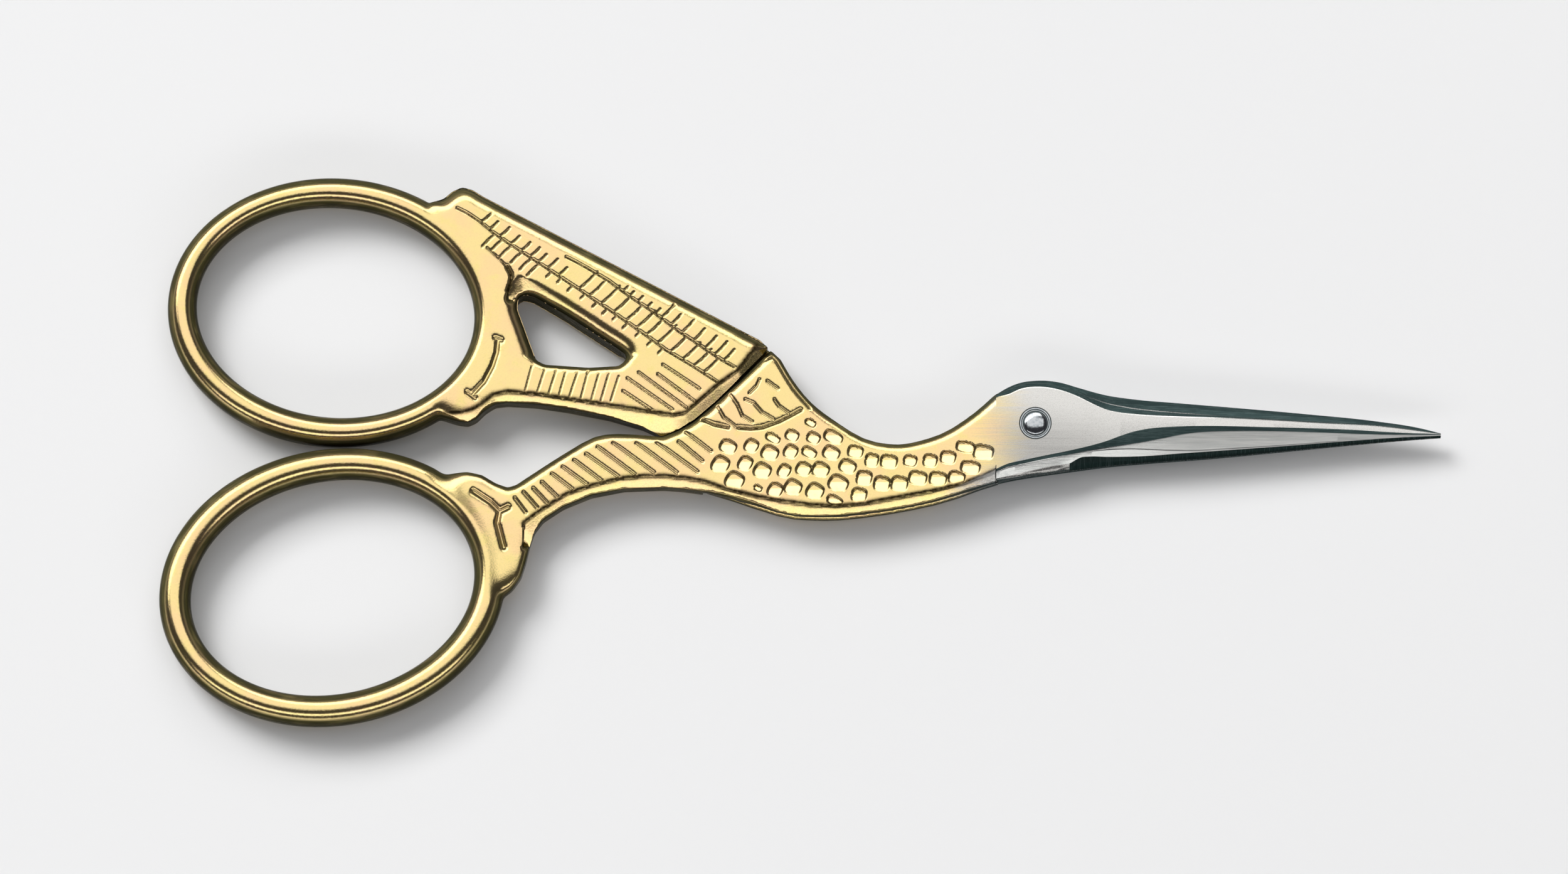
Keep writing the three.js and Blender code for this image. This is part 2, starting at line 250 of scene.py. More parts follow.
# Engraved lines as seen on the face, in mm: half width, depth and the points of each line, and
# how much painted shade they carry where that is less than 1
wingEngraving = {
    "ribLine": {"halfWidth": 0.075, "depth": 0.1, "lines": [
        [(-40.7, 15.1), (-40, 14.75), (-39.1, 14.15), (-38.2, 13.4), (-37.2, 12.7), (-36.2, 12.05),
         (-35.2, 11.4), (-34, 10.6), (-33, 9.95), (-32, 9.3), (-31, 8.6), (-30, 7.95), (-29, 7.25),
         (-28, 6.55), (-27, 5.85), (-26, 5.1), (-25, 4.5), (-24, 3.9), (-23, 3.25), (-22.3, 2.8)],
        [(-33, 11.65), (-32.3, 11.3), (-31.5, 10.85), (-30, 9.95), (-29, 9.2), (-28, 8.5),
         (-27, 7.85), (-26, 7.1), (-25, 6.35), (-24, 5.7), (-23, 5), (-22, 4.35), (-21.1, 3.85)],
    ]},
    "bone": {"halfWidth": 0.15, "depth": 0.16, "shadeAmount": 0.3, "lines": [
        [(-37.8, 5.8), (-37.88, 4.95), (-38.2, 3.97), (-38.76, 2.9), (-39.6, 1.98)],
        [(-38, 5.95), (-37.55, 5.8)], [(-39.95, 2.15), (-39.4, 1.75)],
    ]},
    "crack": {"halfWidth": 0.12, "depth": 0.22, "lines": [
        [(-37.15, 10.95), (-36.9, 10.5), (-36.85, 10.2), (-36.95, 9.7), (-37.1, 9.3)],
    ]},
    "crackEnd": {"halfWidth": 0.06, "depth": 0.08, "lines": [
        [(-38.6, 12.3), (-37.6, 11.4), (-37.05, 10.8)],
    ]},
    "barTick": {"halfWidth": 0.065, "depth": 0.06, "lines": [
        [(-35.4, 3.97), (-35.9, 2.1)], [(-34.5, 3.7), (-35.03, 2.04)],
        [(-33.7, 3.64), (-34.26, 1.85)], [(-33.04, 3.5), (-33.5, 1.85)],
        [(-32.2, 3.48), (-32.8, 1.65)], [(-31.45, 3.6), (-32, 1.5)], [(-30.7, 3.4), (-31.2, 1.6)],
        [(-30, 3.4), (-30.55, 1.5)], [(-29.3, 3.23), (-29.85, 1.5)],
    ]},
    "plume": {"halfWidth": 0.075, "depth": 0.09, "shadeAmount": 0.6, "lines": [
        [(-26.2, 4.05), (-23.6, 2.34)], [(-26.55, 3.38), (-23.9, 1.44)], [(-27.9, 3.5), (-24.5, 1)],
        [(-28.7, 3.1), (-25.5, 0.87)], [(-29, 2.2), (-26.8, 0.75)],
    ]},
}
# Short cuts between and beside the two rib lines. Each row: the rib line, where the row starts
# and ends, the step between cuts, and how far a cut runs to the right and up
wingRows = {
    "betweenRibs": (0, -32.1, -22.9, 0.8, 1.22, 1.15),
    "aboveFirstRib": (0, -39, -33.2, 0.68, 0.66, 0.6),
    "aboveSecondRibNarrow": (1, -29, -26.4, 0.55, 0.34, 0.34),
    "aboveSecondRib": (1, -26.3, -21.6, 0.74, 0.84, 0.88),
    "belowFirstRibWide": (0, -38, -34.6, 0.62, -0.85, -0.82),
    "belowFirstRibNarrow": (0, -34, -26, 0.78, -0.36, -0.36),
}
# The cuts of a row stray along the rib and differ in length, and bend a little
handCut = {"stray": 0.09, "strayPace": 5.1, "longer": 0.1, "longerPace": 3.7, "bend": (0.55, 0.5)}
legEngraving = {
    "hatch": {"halfWidth": 0.09, "depth": 0.11, "shadeAmount": 0.55, "lines": [
        [(-36.6, -5.25), (-35.8, -6.3)], [(-36, -4.83), (-35, -5.96)],
        [(-35.3, -4.58), (-34.3, -5.63)], [(-34.7, -4.15), (-33.5, -5.3)],
        [(-34, -3.56), (-32.5, -4.7)], [(-33.25, -3.07), (-31.5, -4.34)],
        [(-32.45, -2.6), (-30.4, -4.15)], [(-31.6, -2.18), (-29.2, -3.87)],
        [(-30.8, -1.66), (-28.15, -3.63)], [(-29.7, -1.38), (-26.8, -3.5)],
        [(-28.06, -1.38), (-25.2, -3.5)], [(-26.6, -1.38), (-23.75, -3.45)],
        [(-25.1, -1.3), (-23.4, -2.7)], [(-24.6, -0.63), (-22.8, -2)],
    ]},
    "kneeMark": {"halfWidth": 0.17, "depth": 0.2, "shadeAmount": 0.3, "lines": [
        [(-39.5, -4.75), (-38.3, -5.55), (-37.65, -6.2), (-37.8, -7), (-37.35, -8.7)],
        [(-37.65, -6.2), (-37.05, -5.9)],
    ]},
}
bodyEngraving = {
    "breastEdge": {"halfWidth": 0.12, "depth": 0.14, "lines": [
        [(-23.45, 0.3), (-22.6, -0.1), (-21.6, -0.3)],
        [(-20.9, -0.32), (-20, -0.38), (-19.2, -0.3), (-18, 0.14), (-17.2, 0.55), (-16.5, 0.94)],
    ]},
    "breastPlume": {"halfWidth": 0.08, "depth": 0.1, "shadeAmount": 0.6, "lines": [
        [(-22.4, 1.28), (-21.9, 0.38), (-21.03, -0.3)],
        [(-21.5, 2.1), (-20.95, 1.3), (-20.6, 0.5), (-19.9, 0.05)],
        [(-20.4, 1.65), (-19.8, 1.4), (-19.2, 0.72), (-18.4, 0.25)],
        [(-18.35, 1.65), (-18, 1.17), (-17.3, 0.66)], [(-18.85, 2.95), (-18.1, 2.4)],
        [(-20.1, 2.1), (-19.6, 2.6), (-19.4, 3.05)],
    ]},
    "crest": {"halfWidth": 0.08, "depth": 0.08, "lines": [
        [(-19.1, 4.43), (-18.45, 4.66), (-18.2, 4.43), (-17.55, 3.3), (-17, 2.4), (-16.4, 1.68),
         (-15.86, 1.06)],
    ]},
}
# Scales struck with a punch: middle x and y, width and height
bodyScales = [
    (-15.8, 0.0, 0.8, 0.5), (-17.1, -0.91, 0.95, 0.8), (-15.6, -1.08, 0.95, 0.8),
    (-14.2, -1.02, 1.4, 0.9), (-18.45, -1.08, 1.1, 0.6), (-21.6, -1.7, 1.2, 1),
    (-19.97, -1.64, 0.95, 1), (-18.67, -2.15, 1.2, 1.1), (-17.2, -2.04, 0.95, 1),
    (-15.9, -2.1, 1.1, 0.7), (-14.35, -2.15, 1.2, 1), (-12.65, -2.04, 1.1, 0.9),
    (-11.5, -2.65, 0.95, 1), (-10.3, -2.74, 1.2, 1), (-8.8, -2.68, 0.95, 0.8),
    (-7.4, -2.68, 1, 0.95), (-22.15, -2.97, 1.2, 1.3), (-20.4, -2.88, 0.95, 1.1),
    (-19.2, -3.4, 1.2, 1.15), (-17.66, -3.4, 0.85, 1), (-16.3, -3.27, 1.05, 1),
    (-15.1, -3.33, 1.2, 1.1), (-13.2, -3.1, 1.2, 1), (-12.04, -3.9, 1.1, 1.1),
    (-10.8, -4.3, 1.15, 1.1), (-9.56, -4.3, 1.2, 1.1), (-8.27, -3.9, 1.3, 1),
    (-6.85, -3.95, 1.25, 1), (-5.54, -3.87, 1.2, 0.95), (-4.57, -3.16, 1.4, 0.95),
    (-6.14, -2.45, 1.1, 0.95), (-4.93, -1.7, 1.3, 0.8), (-3.66, -2.1, 1.45, 1.1),
    (-21.15, -4.1, 1.3, 1.3), (-18.3, -4.75, 1, 1.1), (-17.04, -4.57, 1.2, 1.15),
    (-15.5, -4.85, 1.2, 1.2), (-13.86, -4.3, 1.4, 1.2), (-14.1, -5.5, 1.2, 0.7),
    (-12.4, -5.1, 1.1, 1.05), (-19.5, -4.6, 0.6, 0.4),
]
# The punch: how deep its floor lies, its turn in degrees on the breast and on the neck, its
# shape, and where painted shade runs along its upper edge
scalePunch = {
    "least": 0.01, "depth": 0.22, "middle": 0.16, "slope": 0.29, "wall": (0.84, 1.04),
    "lean": -32, "neckLean": -12, "neckX": -12.9, "squareness": 3,
    "shadeAt": 0.95, "shadeWidth": 0.1, "shadeFrom": (-0.1, 0.5), "shadeLean": 0.4,
}
# A cut's profile: a shallow hollow round it, how far that is drawn, and how narrow the painted
# shade along it is
cutProfile = {"drawn": 6, "hollow": 0.16, "hollowWidth": 2.6, "shadeNarrower": 1.2}
# Where the flat face ends over the lower sides, in front of a sloping edge
faceBorders = {
    "wing": [(-41.4, 0.75), (-40.4, 0.75), (-39.6, 0.95), (-38.9, 1.4), (-38.1, 2), (-37.1, 2.22),
             (-35, 2.04), (-30, 1.27), (-26.5, 0.72), (-25.5, 0.57), (-24.7, 0.7), (-23.9, 1.36),
             (-22.3, 2.75), (-21, 3.65), (-20, 4.95), (-19.6, 5.45)],
    "leg": [(-36, -7), (-35, -6.24), (-34, -5.6), (-32.9, -4.9), (-31, -4.3), (-29.2, -3.85),
            (-27.5, -3.68), (-26.1, -3.68), (-24.7, -3.8), (-23.3, -4.06), (-21.9, -4.55),
            (-20, -5.05), (-18, -5.4), (-16, -5.68), (-14, -5.8), (-12, -5.62), (-9.28, -5.1),
            (-7.26, -4.73), (-5, -4.2), (-3.5, -3.6), (-2.6, -3.2)],
}
# The ornament was measured as the camera sees it
cameraElevation = 82
seenFromAbove = math.sin(math.radians(cameraElevation))


def onFace(line):
    return np.array(line, float) * (1, 1 / seenFromAbove)


# The distance of each point from a line, for the points within reach of it
def distanceTo(line, points, reach):
    distance = np.full(len(points), np.inf)
    near = np.all((points > line.min(0) - reach) & (points < line.max(0) + reach), axis=1)
    p = points[near]
    best = np.full(len(p), np.inf)
    for start, end in zip(line, line[1:]):
        run = end - start
        share = np.clip(((p - start) @ run) / (run @ run), 0, 1)
        best = np.minimum(best, np.hypot(*(p - start - share[:, None] * run).T))
    distance[near] = best
    return distance


def rowCuts():
    cuts = []
    bendX, bendY = handCut["bend"]
    for ribIndex, fromX, toX, step, right, up in wingRows.values():
        rib = np.array(wingEngraving["ribLine"]["lines"][ribIndex])
        for i, x in enumerate(np.arange(fromX, toX, step)):
            x += handCut["stray"] * math.sin(handCut["strayPace"] * i)
            y = np.interp(x, rib[:, 0], rib[:, 1])
            reach = 1 + handCut["longer"] * math.sin(handCut["longerPace"] * i + 1)
            runX, runY = right * reach, up * reach
            cuts.append([(x, y), (x + bendX * runX, y + bendY * runY), (x + runX, y + runY)])
    return cuts


def engrave(depth, paintedShade, points, engraving):
    for cut in engraving.values():
        drawn = cutProfile["drawn"] * cut["halfWidth"]
        for line in cut["lines"]:
            share = distanceTo(onFace(line), points, drawn) / cut["halfWidth"]
            profile = np.exp(-share ** 2)
            profile += cutProfile["hollow"] * np.exp(-(share / cutProfile["hollowWidth"]) ** 2)
            depth[:] = np.maximum(depth, cut["depth"] * profile)
            shadeAmount = cut.get("shadeAmount", 1) * np.exp(-(cutProfile["shadeNarrower"] * share) ** 2)
            paintedShade[:] = np.maximum(paintedShade, shadeAmount)


# A scale is deepest under its upper edge, which is painted with shade, and runs out flat below
def strikeScales(depth, paintedShade, points):
    for x, y, width, height in bodyScales:
        lean = scalePunch["neckLean"] if x > scalePunch["neckX"] else scalePunch["lean"]
        turn = math.radians(lean)
        dx = points[:, 0] - x
        dy = points[:, 1] - y / seenFromAbove
        along = 2 * (dx * math.cos(turn) + dy * math.sin(turn)) / width
        up = 2 * (dy * math.cos(turn) - dx * math.sin(turn)) / height
        power = scalePunch["squareness"]
        out = (np.abs(along) ** power + np.abs(up) ** power) ** (1 / power)
        floor = np.clip(scalePunch["middle"] + scalePunch["slope"] * dy,
                        scalePunch["least"], scalePunch["depth"])
        depth[:] = np.maximum(depth, floor * (1 - softStep(*scalePunch["wall"], out)))
        upperEdge = np.exp(-((out - scalePunch["shadeAt"]) / scalePunch["shadeWidth"]) ** 2)
        upperEdge *= softStep(*scalePunch["shadeFrom"], up + scalePunch["shadeLean"] * along)
        paintedShade[:] = np.maximum(paintedShade, upperEdge)


# The shoulder parts wing and body on the back half's back
shoulder = {"x": -18.75, "y": 5.35, "slope": 1.12}


def isWing(points):
    return points[:, 1] > shoulder["y"] + shoulder["slope"] * (points[:, 0] - shoulder["x"])


def isBody(points):
    return ~isWing(points)


def everywhere(points):
    return np.ones(len(points), bool)


# How far each point lies beyond a border, on its lower side
def beyondBorder(points, border):
    line = onFace(border)
    beyond = np.interp(points[:, 0], line[:, 0], line[:, 1]) - points[:, 1]
    return np.where(points[:, 0] > line[0, 0], beyond, -1)


slopedEdge = {"reach": 1.6, "stepDepth": 0.1, "stepWidth": 0.16, "slope": 0.6, "ease": 0.1}


# How deep the sloping edge lies under the face at each point beyond the border
def edgeDepth(points, border):
    distance = distanceTo(onFace(border), points, slopedEdge["reach"])
    inside = (beyondBorder(points, border) > 0) & np.isfinite(distance)
    out = np.where(inside, distance, 0)
    step = slopedEdge["stepDepth"] * softStep(0, slopedEdge["stepWidth"], out)
    return step + slopedEdge["slope"] * out * out / (out + slopedEdge["ease"])


# The wide bevel on the upper side of the wing's hole
holeBevel = {
    "line": [(-37.1, 9.7), (-36.3, 10.4), (-35, 9.85), (-33, 8.65), (-31, 7.25), (-29, 5.85),
             (-28.2, 5.2)],
    "reach": 1.15, "slope": 0.55, "fade": (-29.6, -28.5),
}


def holeBevelDepth(points):
    distance = distanceTo(onFace(holeBevel["line"]), points, holeBevel["reach"])
    below = beyondBorder(points, holeBevel["line"]) > 0
    inside = below & (distance < holeBevel["reach"]) & (points[:, 0] < holeBevel["line"][-1][0])
    fade = 1 - softStep(*holeBevel["fade"], points[:, 0])
    return holeBevel["slope"] * fade * np.where(inside, distance, 0)


# The rounding of the edges on each side of a border, and the share of it that is left under and
# over the bar of the wing
roundings = {
    "wing": {"width": 1.05, "depth": 0.95, "underBar": 0.5, "overBar": 0.22},
    "leg": {"width": 0.55, "depth": 0.48},
}
wingBar = {"x": -36, "y": 3, "slope": 0.11, "ease": 0.3, "overHole": (4.2, 4.9)}
uprightWall = {"facing": 0.35, "deepest": 0.7}


# How deep the rounded upper edge lies, from the distance to the nearest upright wall
def roundingDepth(points, normals, rounding, near, under):
    upright = np.abs(normals[:, 2]) < uprightWall["facing"]
    walls = points[upright & (under < uprightWall["deepest"])]
    tree = kdtree.KDTree(len(walls))
    for index, wall in enumerate(walls):
        tree.insert((wall[0], wall[1], 0), index)
    tree.balance()
    share = np.zeros(len(points))
    for index in np.nonzero(near)[0]:
        distance = tree.find((points[index, 0], points[index, 1], 0))[2]
        share[index] = max(0, 1 - distance / rounding["width"])
    depth = rounding["depth"]
    if "underBar" in rounding:
        height = points[:, 1] - wingBar["y"] + wingBar["slope"] * (points[:, 0] - wingBar["x"])
        above = softStep(-wingBar["ease"], wingBar["ease"], height)
        scale = rounding["underBar"] + above * (rounding["overBar"] - rounding["underBar"])
        scale += softStep(*wingBar["overHole"], points[:, 1]) * (1 - scale)
        share = np.clip(1 - (1 - share) / scale, 0, 1)
        depth = depth * scale
    return depth * (1 - np.sqrt(1 - share * share))


# The upper side of the wing's hole leans in toward the back
holeLean = {
    "line": [(-36.2, 9.1), (-35.2, 9.05), (-33.05, 7.85), (-29.3, 5.4)],
    "toward": (-0.5, -0.86), "lean": 0.36, "width": 0.55, "reach": 1.6,
}


def leanHoleSide(piece):
    points = readPoints(piece)
    distance = distanceTo(np.array(holeLean["line"]), points[:, :2], holeLean["reach"])
    share = np.exp(-(distance / holeLean["width"]) ** 2) * (1 - points[:, 2] / loopHeight)
    points[:, :2] += (holeLean["lean"] * share)[:, None] * holeLean["toward"]
    writePoints(piece, points)


# The back half stands out a little under the front half's belly
bellyLip = {"fromX": -21.5, "toX": -3.6, "ease": 2, "facing": 1.4, "reach": 0.1}


def setOutBelly(piece):
    points = readPoints(piece)
    fromX, toX, ease = bellyLip["fromX"], bellyLip["toX"], bellyLip["ease"]
    along = softStep(fromX, fromX + ease, points[:, 0])
    along *= 1 - softStep(toX - ease, toX, points[:, 0])
    facing = np.clip(-bellyLip["facing"] * readNormals(piece)[:, 1], 0, 1) * isBody(points)
    points[:, 1] -= bellyLip["reach"] * along * facing
    writePoints(piece, points)


# The end of the wing keeps its full height up to its border, and all but touches the body, and
# painted shade lies on its slope beyond the border
wingEnd = {
    "x": (-25.6, -24.6), "reach": 1.5, "leastHeight": 2.4, "facing": 0.45,
    "shoulderReach": 0.4, "shoulderFacing": 0.1, "shadeAmount": 0.35, "shadeFrom": (0.3, 0.45),
}
shoulderGap = {
    "line": [(-26.3, -0.85), (-25.2, -0.42), (-24, 0.3), (-22.6, 1.5), (-21.2, 2.85),
             (-18.75, 5.35)],
    "toward": (0.707, -0.707), "reach": 0.1, "fade": (0.2, 0.55), "height": (1.9, 2.2),
}


def wingEndShare(points):
    return softStep(*wingEnd["x"], points[:, 0])


def fillWingEnd(piece):
    points = readPoints(piece)
    flat = points[:, :2]
    near = distanceTo(onFace(faceBorders["wing"]), flat, wingEnd["reach"]) < wingEnd["reach"]
    fromShoulder = distanceTo(np.array(shoulderGap["line"]), flat, wingEnd["shoulderReach"])
    atShoulder = fromShoulder < wingEnd["shoulderReach"]
    leastFacing = np.where(atShoulder, wingEnd["shoulderFacing"], wingEnd["facing"])
    slope = near & isWing(points) & (readNormals(piece)[:, 2] > leastFacing)
    slope &= (points[:, 2] > wingEnd["leastHeight"]) & (wingEndShare(points) > 0)
    points[:, 2] = np.where(slope, loopHeight, points[:, 2])
    writePoints(piece, points)


def closeShoulder(piece):
    points = readPoints(piece)
    fade = shoulderGap["fade"]
    distance = distanceTo(np.array(shoulderGap["line"]), points[:, :2], fade[1])
    share = 1 - softStep(*fade, distance)
    share *= softStep(*shoulderGap["height"], points[:, 2])
    points[:, :2] += (shoulderGap["reach"] * share)[:, None] * shoulderGap["toward"]
    writePoints(piece, points)


wingEngraving["rowCut"] = {"halfWidth": 0.065, "depth": 0.07, "lines": rowCuts()}
# The faces that are carved, where up is -1 for a face on the back
storkFace = {"z": 3.32, "up": 1, "region": everywhere, "border": "leg",
             "cuts": (legEngraving, bodyEngraving), "scales": True}
wingFace = {"z": 3.6, "up": 1, "region": isWing, "border": "wing",
            "cuts": (wingEngraving,), "scales": False}
wingBack = {**wingFace, "z": 0, "up": -1}
bodyBack = {"z": 0.28, "up": -1, "region": isBody, "border": "leg",
            "cuts": (bodyEngraving,), "scales": True}
# How near to the ornament the mesh is split, and how the ornament keeps clear of other forms
splitting = {"line": 0.25, "scale": 0.6, "scaleSpare": 0.22, "deepest": 0.4}
carving = {
    "loopFade": (1.12, 1.6), "deepest": 1.1, "facing": (0.72, 0.93), "faceReach": 0.25,
    "rounded": (0.002, 0.02), "roundedShare": 0.8, "roundedFacing": 0.3, "rounds": 12,
    "borderFade": (0.02, 0.14), "borderReach": 1.3, "shadeAt": 0.04, "shadeWidth": 0.14,
}


# Splits the mesh along the ornament of a face, where the thin lines need more points
def splitAlong(piece, face):
    centres = readVectors(piece.data.polygons, "center") / mm
    flat = centres[:, :2]
    near = np.zeros(len(flat), bool)
    for engraving in face["cuts"]:
        for cut in engraving.values():
            for line in cut["lines"]:
                near |= distanceTo(onFace(line), flat, splitting["line"]) < splitting["line"]
    if face["scales"]:
        for x, y, width, height in bodyScales:
            distance = np.hypot(flat[:, 0] - x, flat[:, 1] - y / seenFromAbove)
            near |= distance < splitting["scale"] * width + splitting["scaleSpare"]
    near &= np.abs(centres[:, 2] - face["z"]) < splitting["deepest"]
    selectOnly(piece)
    bpy.ops.object.mode_set(mode="EDIT")
    bpy.ops.mesh.select_mode(type="FACE")
    bpy.ops.mesh.select_all(action="DESELECT")
    bpy.ops.object.mode_set(mode="OBJECT")
    piece.data.polygons.foreach_set("select", near)
    bpy.ops.object.mode_set(mode="EDIT")
    bpy.ops.mesh.subdivide(number_cuts=1)
    bpy.ops.mesh.select_mode(type="VERT")
    bpy.ops.object.mode_set(mode="OBJECT")


# Rounds the edges of a face and sinks the ornament into it, and gives back where painted shade goes
def carve(piece, loop, face):
    points = readPoints(piece)
    normals = readNormals(piece)
    flat = points[:, :2]
    up, faceZ = face["up"], face["z"]
    onWing = face["border"] == "wing"
    inRegion = face["region"](points)
    border = faceBorders[face["border"]]
    beyond = beyondBorder(flat, border)
    clearOfLoop = softStep(*carving["loopFade"], loopSection(points, loop)[5])
    below = up * (faceZ - points[:, 2])
    near = inRegion & (below < carving["deepest"]) & (clearOfLoop > 0)
    rounded = roundingDepth(points, normals, roundings[face["border"]], near, below) * clearOfLoop
    under = np.maximum(rounded, edgeDepth(flat, border))
    if onWing:
        under = np.maximum(under, holeBevelDepth(flat))
    limit = faceZ - up * under
    tooHigh = (under > 0) & (up * (points[:, 2] - limit) > 0) & inRegion
    facing = softStep(*carving["facing"], up * normals[:, 2]) * inRegion
    facing *= np.abs(points[:, 2] - faceZ) < carving["faceReach"]
    points[:, 2] = np.where(tooHigh, limit, points[:, 2])
    writePoints(piece, points)
    onRounding = softStep(*carving["rounded"], rounded)
    onRounding *= rounded > carving["roundedShare"] * under
    onRounding *= up * normals[:, 2] > carving["roundedFacing"]
    smoothNear(piece, onRounding, carving["rounds"])
    points = readPoints(piece)
    depth = np.zeros(len(flat))
    paintedShade = np.zeros(len(flat))
    for engraving in face["cuts"]:
        engrave(depth, paintedShade, flat, engraving)
    if face["scales"]:
        strikeScales(depth, paintedShade, flat)
    within = softStep(*carving["borderFade"], -beyond)
    points[:, 2] -= up * depth * facing * within
    writePoints(piece, points)
    # A painted dark line runs along the border of the face
    fromBorder = distanceTo(onFace(border), flat, carving["borderReach"])
    borderShade = np.exp(-((fromBorder - carving["shadeAt"]) / carving["shadeWidth"]) ** 2)
    paintedShade = np.maximum(paintedShade * within, borderShade)
    if onWing:
        endShade = wingEnd["shadeAmount"] * wingEndShare(flat) * (beyond > 0)
        paintedShade = np.maximum(paintedShade, endShade * softStep(*wingEnd["shadeFrom"], fromBorder))
    return paintedShade * facing


# The gilded part runs a little way into the head
def endUnderHead(piece):
    seamX = forging["headSeamX"]
    cutAcross(piece, seamX + forging["underHead"])
    points = readPoints(piece)
    tucked = forging["tuck"] * softStep(0, forging["underHead"], points[:, 0] - seamX)
    writePoints(piece, points - tucked[:, None] * readNormals(piece))


def thinOut(piece):
    piece.data.calc_loop_triangles()
    count = len(piece.data.loop_triangles)
    print(piece.name, count, "triangles")
    if count > forging["mostTriangles"]:
        applyModifier(piece, "DECIMATE", ratio=forging["mostTriangles"] / count)


# The forged pieces keep to the size of the solids
boxInset = 0.0005


def keepInBox(piece):
    low, high = [np.array(corner) / mm for corner in cadBox]
    writePoints(piece, np.clip(readPoints(piece), low + boxInset, high - boxInset))


stork = forgeHalf("front_half", "stork_leg_and_body", loops["lower"])
wing = forgeHalf("back_half", "stork_wing", loops["upper"])
splitAlong(stork, storkFace)
splitAlong(wing, wingFace)
leanHoleSide(wing)
setOutBelly(wing)
fillWingEnd(wing)
closeShoulder(wing)
for piece, loop, faces in (
    (stork, loops["lower"], (storkFace,)),
    (wing, loops["upper"], (wingFace, wingBack, bodyBack)),
):
    # Each piece keeps the painted shade of its carved faces
    paintedShade = sum(carve(piece, loop, face) for face in faces)
    writeValue(piece, "paintedShade", np.clip(paintedShade, 0, 1))
    endUnderHead(piece)
    thinOut(piece)
    smoothByAngle(piece, forging["smoothAngle"])
    keepInBox(piece)
print("forged halves shaped and engraved")


# Lines along the front head and blade, as x and y: back, ridge in the back's slope, top of the
# face, top and foot of the step, start of the cutting bevel and the cutting edge
bladeLines = {
    "spine": [(-2.75, 2.13), (-1.9, 2.63), (-0.97, 2.98), (0, 3.11), (0.65, 3.12), (1.8, 2.97),
              (3, 2.62), (5, 2.08), (7, 1.79), (10, 1.54), (14, 1.22), (19, 0.79), (24, 0.29),
              (27, -0.17), (28.55, -0.55)],
    "ridge": [(-2.75, 2), (-1.9, 2.4), (-0.97, 2.76), (0, 2.87), (1, 2.79), (2, 2.5), (3, 2.16),
              (4, 1.8), (5, 1.46), (6, 1.24), (7, 1.07), (8, 0.96), (10, 0.79), (12, 0.64),
              (14, 0.52), (16.3, 0.4), (20, 0.19), (24, -0.02), (28.55, -0.6)],
    "faceTop": [(-2.75, 1.82), (-1.9, 2.02), (-0.97, 2.42), (0, 2.55), (1, 2.49), (2, 2.26),
                (3, 1.87), (4, 1.37), (5, 0.94), (6, 0.73), (7, 0.63), (8, 0.56), (10, 0.49),
                (14, 0.4), (20, 0.11), (25, -0.18), (28.55, -0.62)],
    "stepTop": [(-2.75, -3.28), (-2, -2.94), (-1, -2.7), (0, -2.48), (1, -2.27), (2, -2.07),
                (3, -1.85), (4, -1.6), (5, -1.3), (6, -0.92), (7, -0.6), (8, -0.4), (9, -0.3),
                (10, -0.24), (17, -0.26), (22, -0.39), (26, -0.6), (28.55, -0.66)],
    "stepFoot": [(-2.75, -3.44), (-2, -3.13), (-1, -2.91), (0, -2.7), (1, -2.5), (2, -2.32),
                 (3, -2.12), (4, -1.92), (5, -1.74), (6, -1.58), (7, -1.42), (8, -1.25),
                 (9, -1.05), (10, -0.84), (11, -0.68), (12, -0.59), (14, -0.52), (20, -0.6),
                 (24, -0.72), (28.55, -0.7)],
    "bevel": [(-2.75, -3.93), (-2, -3.75), (-1, -3.5), (0, -3.27), (1, -3.06), (2, -2.9),
              (2.5, -2.8), (2.8, -2.62), (3.2, -2.43), (3.8, -2.36), (5, -2.36), (8, -2.27),
              (10, -2.12), (12, -1.98), (14, -1.83), (17, -1.6), (22, -1.17), (26, -0.87),
              (28.55, -0.75)],
    "edge": [(-2.75, -4.07), (-1.7, -3.84), (0.9, -3.42), (3, -3.13), (5, -2.87), (8, -2.61),
             (12, -2.32), (17, -1.86), (22, -1.38), (26, -1.03), (28.55, -0.85)],
}
# Heights along the blade, how much of the lower face is steep, and the shares of a section's
# thickness or width at which its corners lie
blade = {
    "plateZ": 1.82, "thickness": 1.5, "tipThickness": 0.42, "taperX": 3.2, "tipX": 28.55,
    "hollow": 0.12, "hollowParts": (0.85, 0.65, 0.5, 0.35, 0.15), "hollowEase": 4,
    "stations": 230, "crowding": 1.15, "smoothAngle": 8,
    "ridgeRounding": 0.035, "mostRounding": 0.3, "shortest": 1e-6,
    "edgeHeight": [(-2.75, 0.9), (1.8, 0.86), (2.4, 0.7), (2.9, 0.25), (3.4, 0.1), (3.8, 0.08),
                   (4.2, 0.08), (28.55, 0.08)],
    "stepDepth": [(-2.75, 0.05), (-1.5, 0.12), (3, 0.13), (7, 0.19), (12, 0.12), (28.55, 0.02)],
    "steepShare": [(-2.75, 0.9), (3.2, 0.9), (5, 0.8), (6.5, 0.65), (8, 0.44), (9.5, 0.24),
                   (11, 0.12), (13, 0.1), (28.55, 0.1)],
    "gentle": 0.06, "steep": 0.54, "groundFromX": 2.4, "edgeHighest": 0.6, "bevelLowest": 0.3,
    "bevelMiddle": {"edge": 0.55, "bevel": 0.45, "height": 0.62}, "ridgeDrop": 0.25,
    "backMiddle": {"ridge": 0.4, "spine": 0.6, "drop": 0.5}, "spineHeight": 0.5,
}


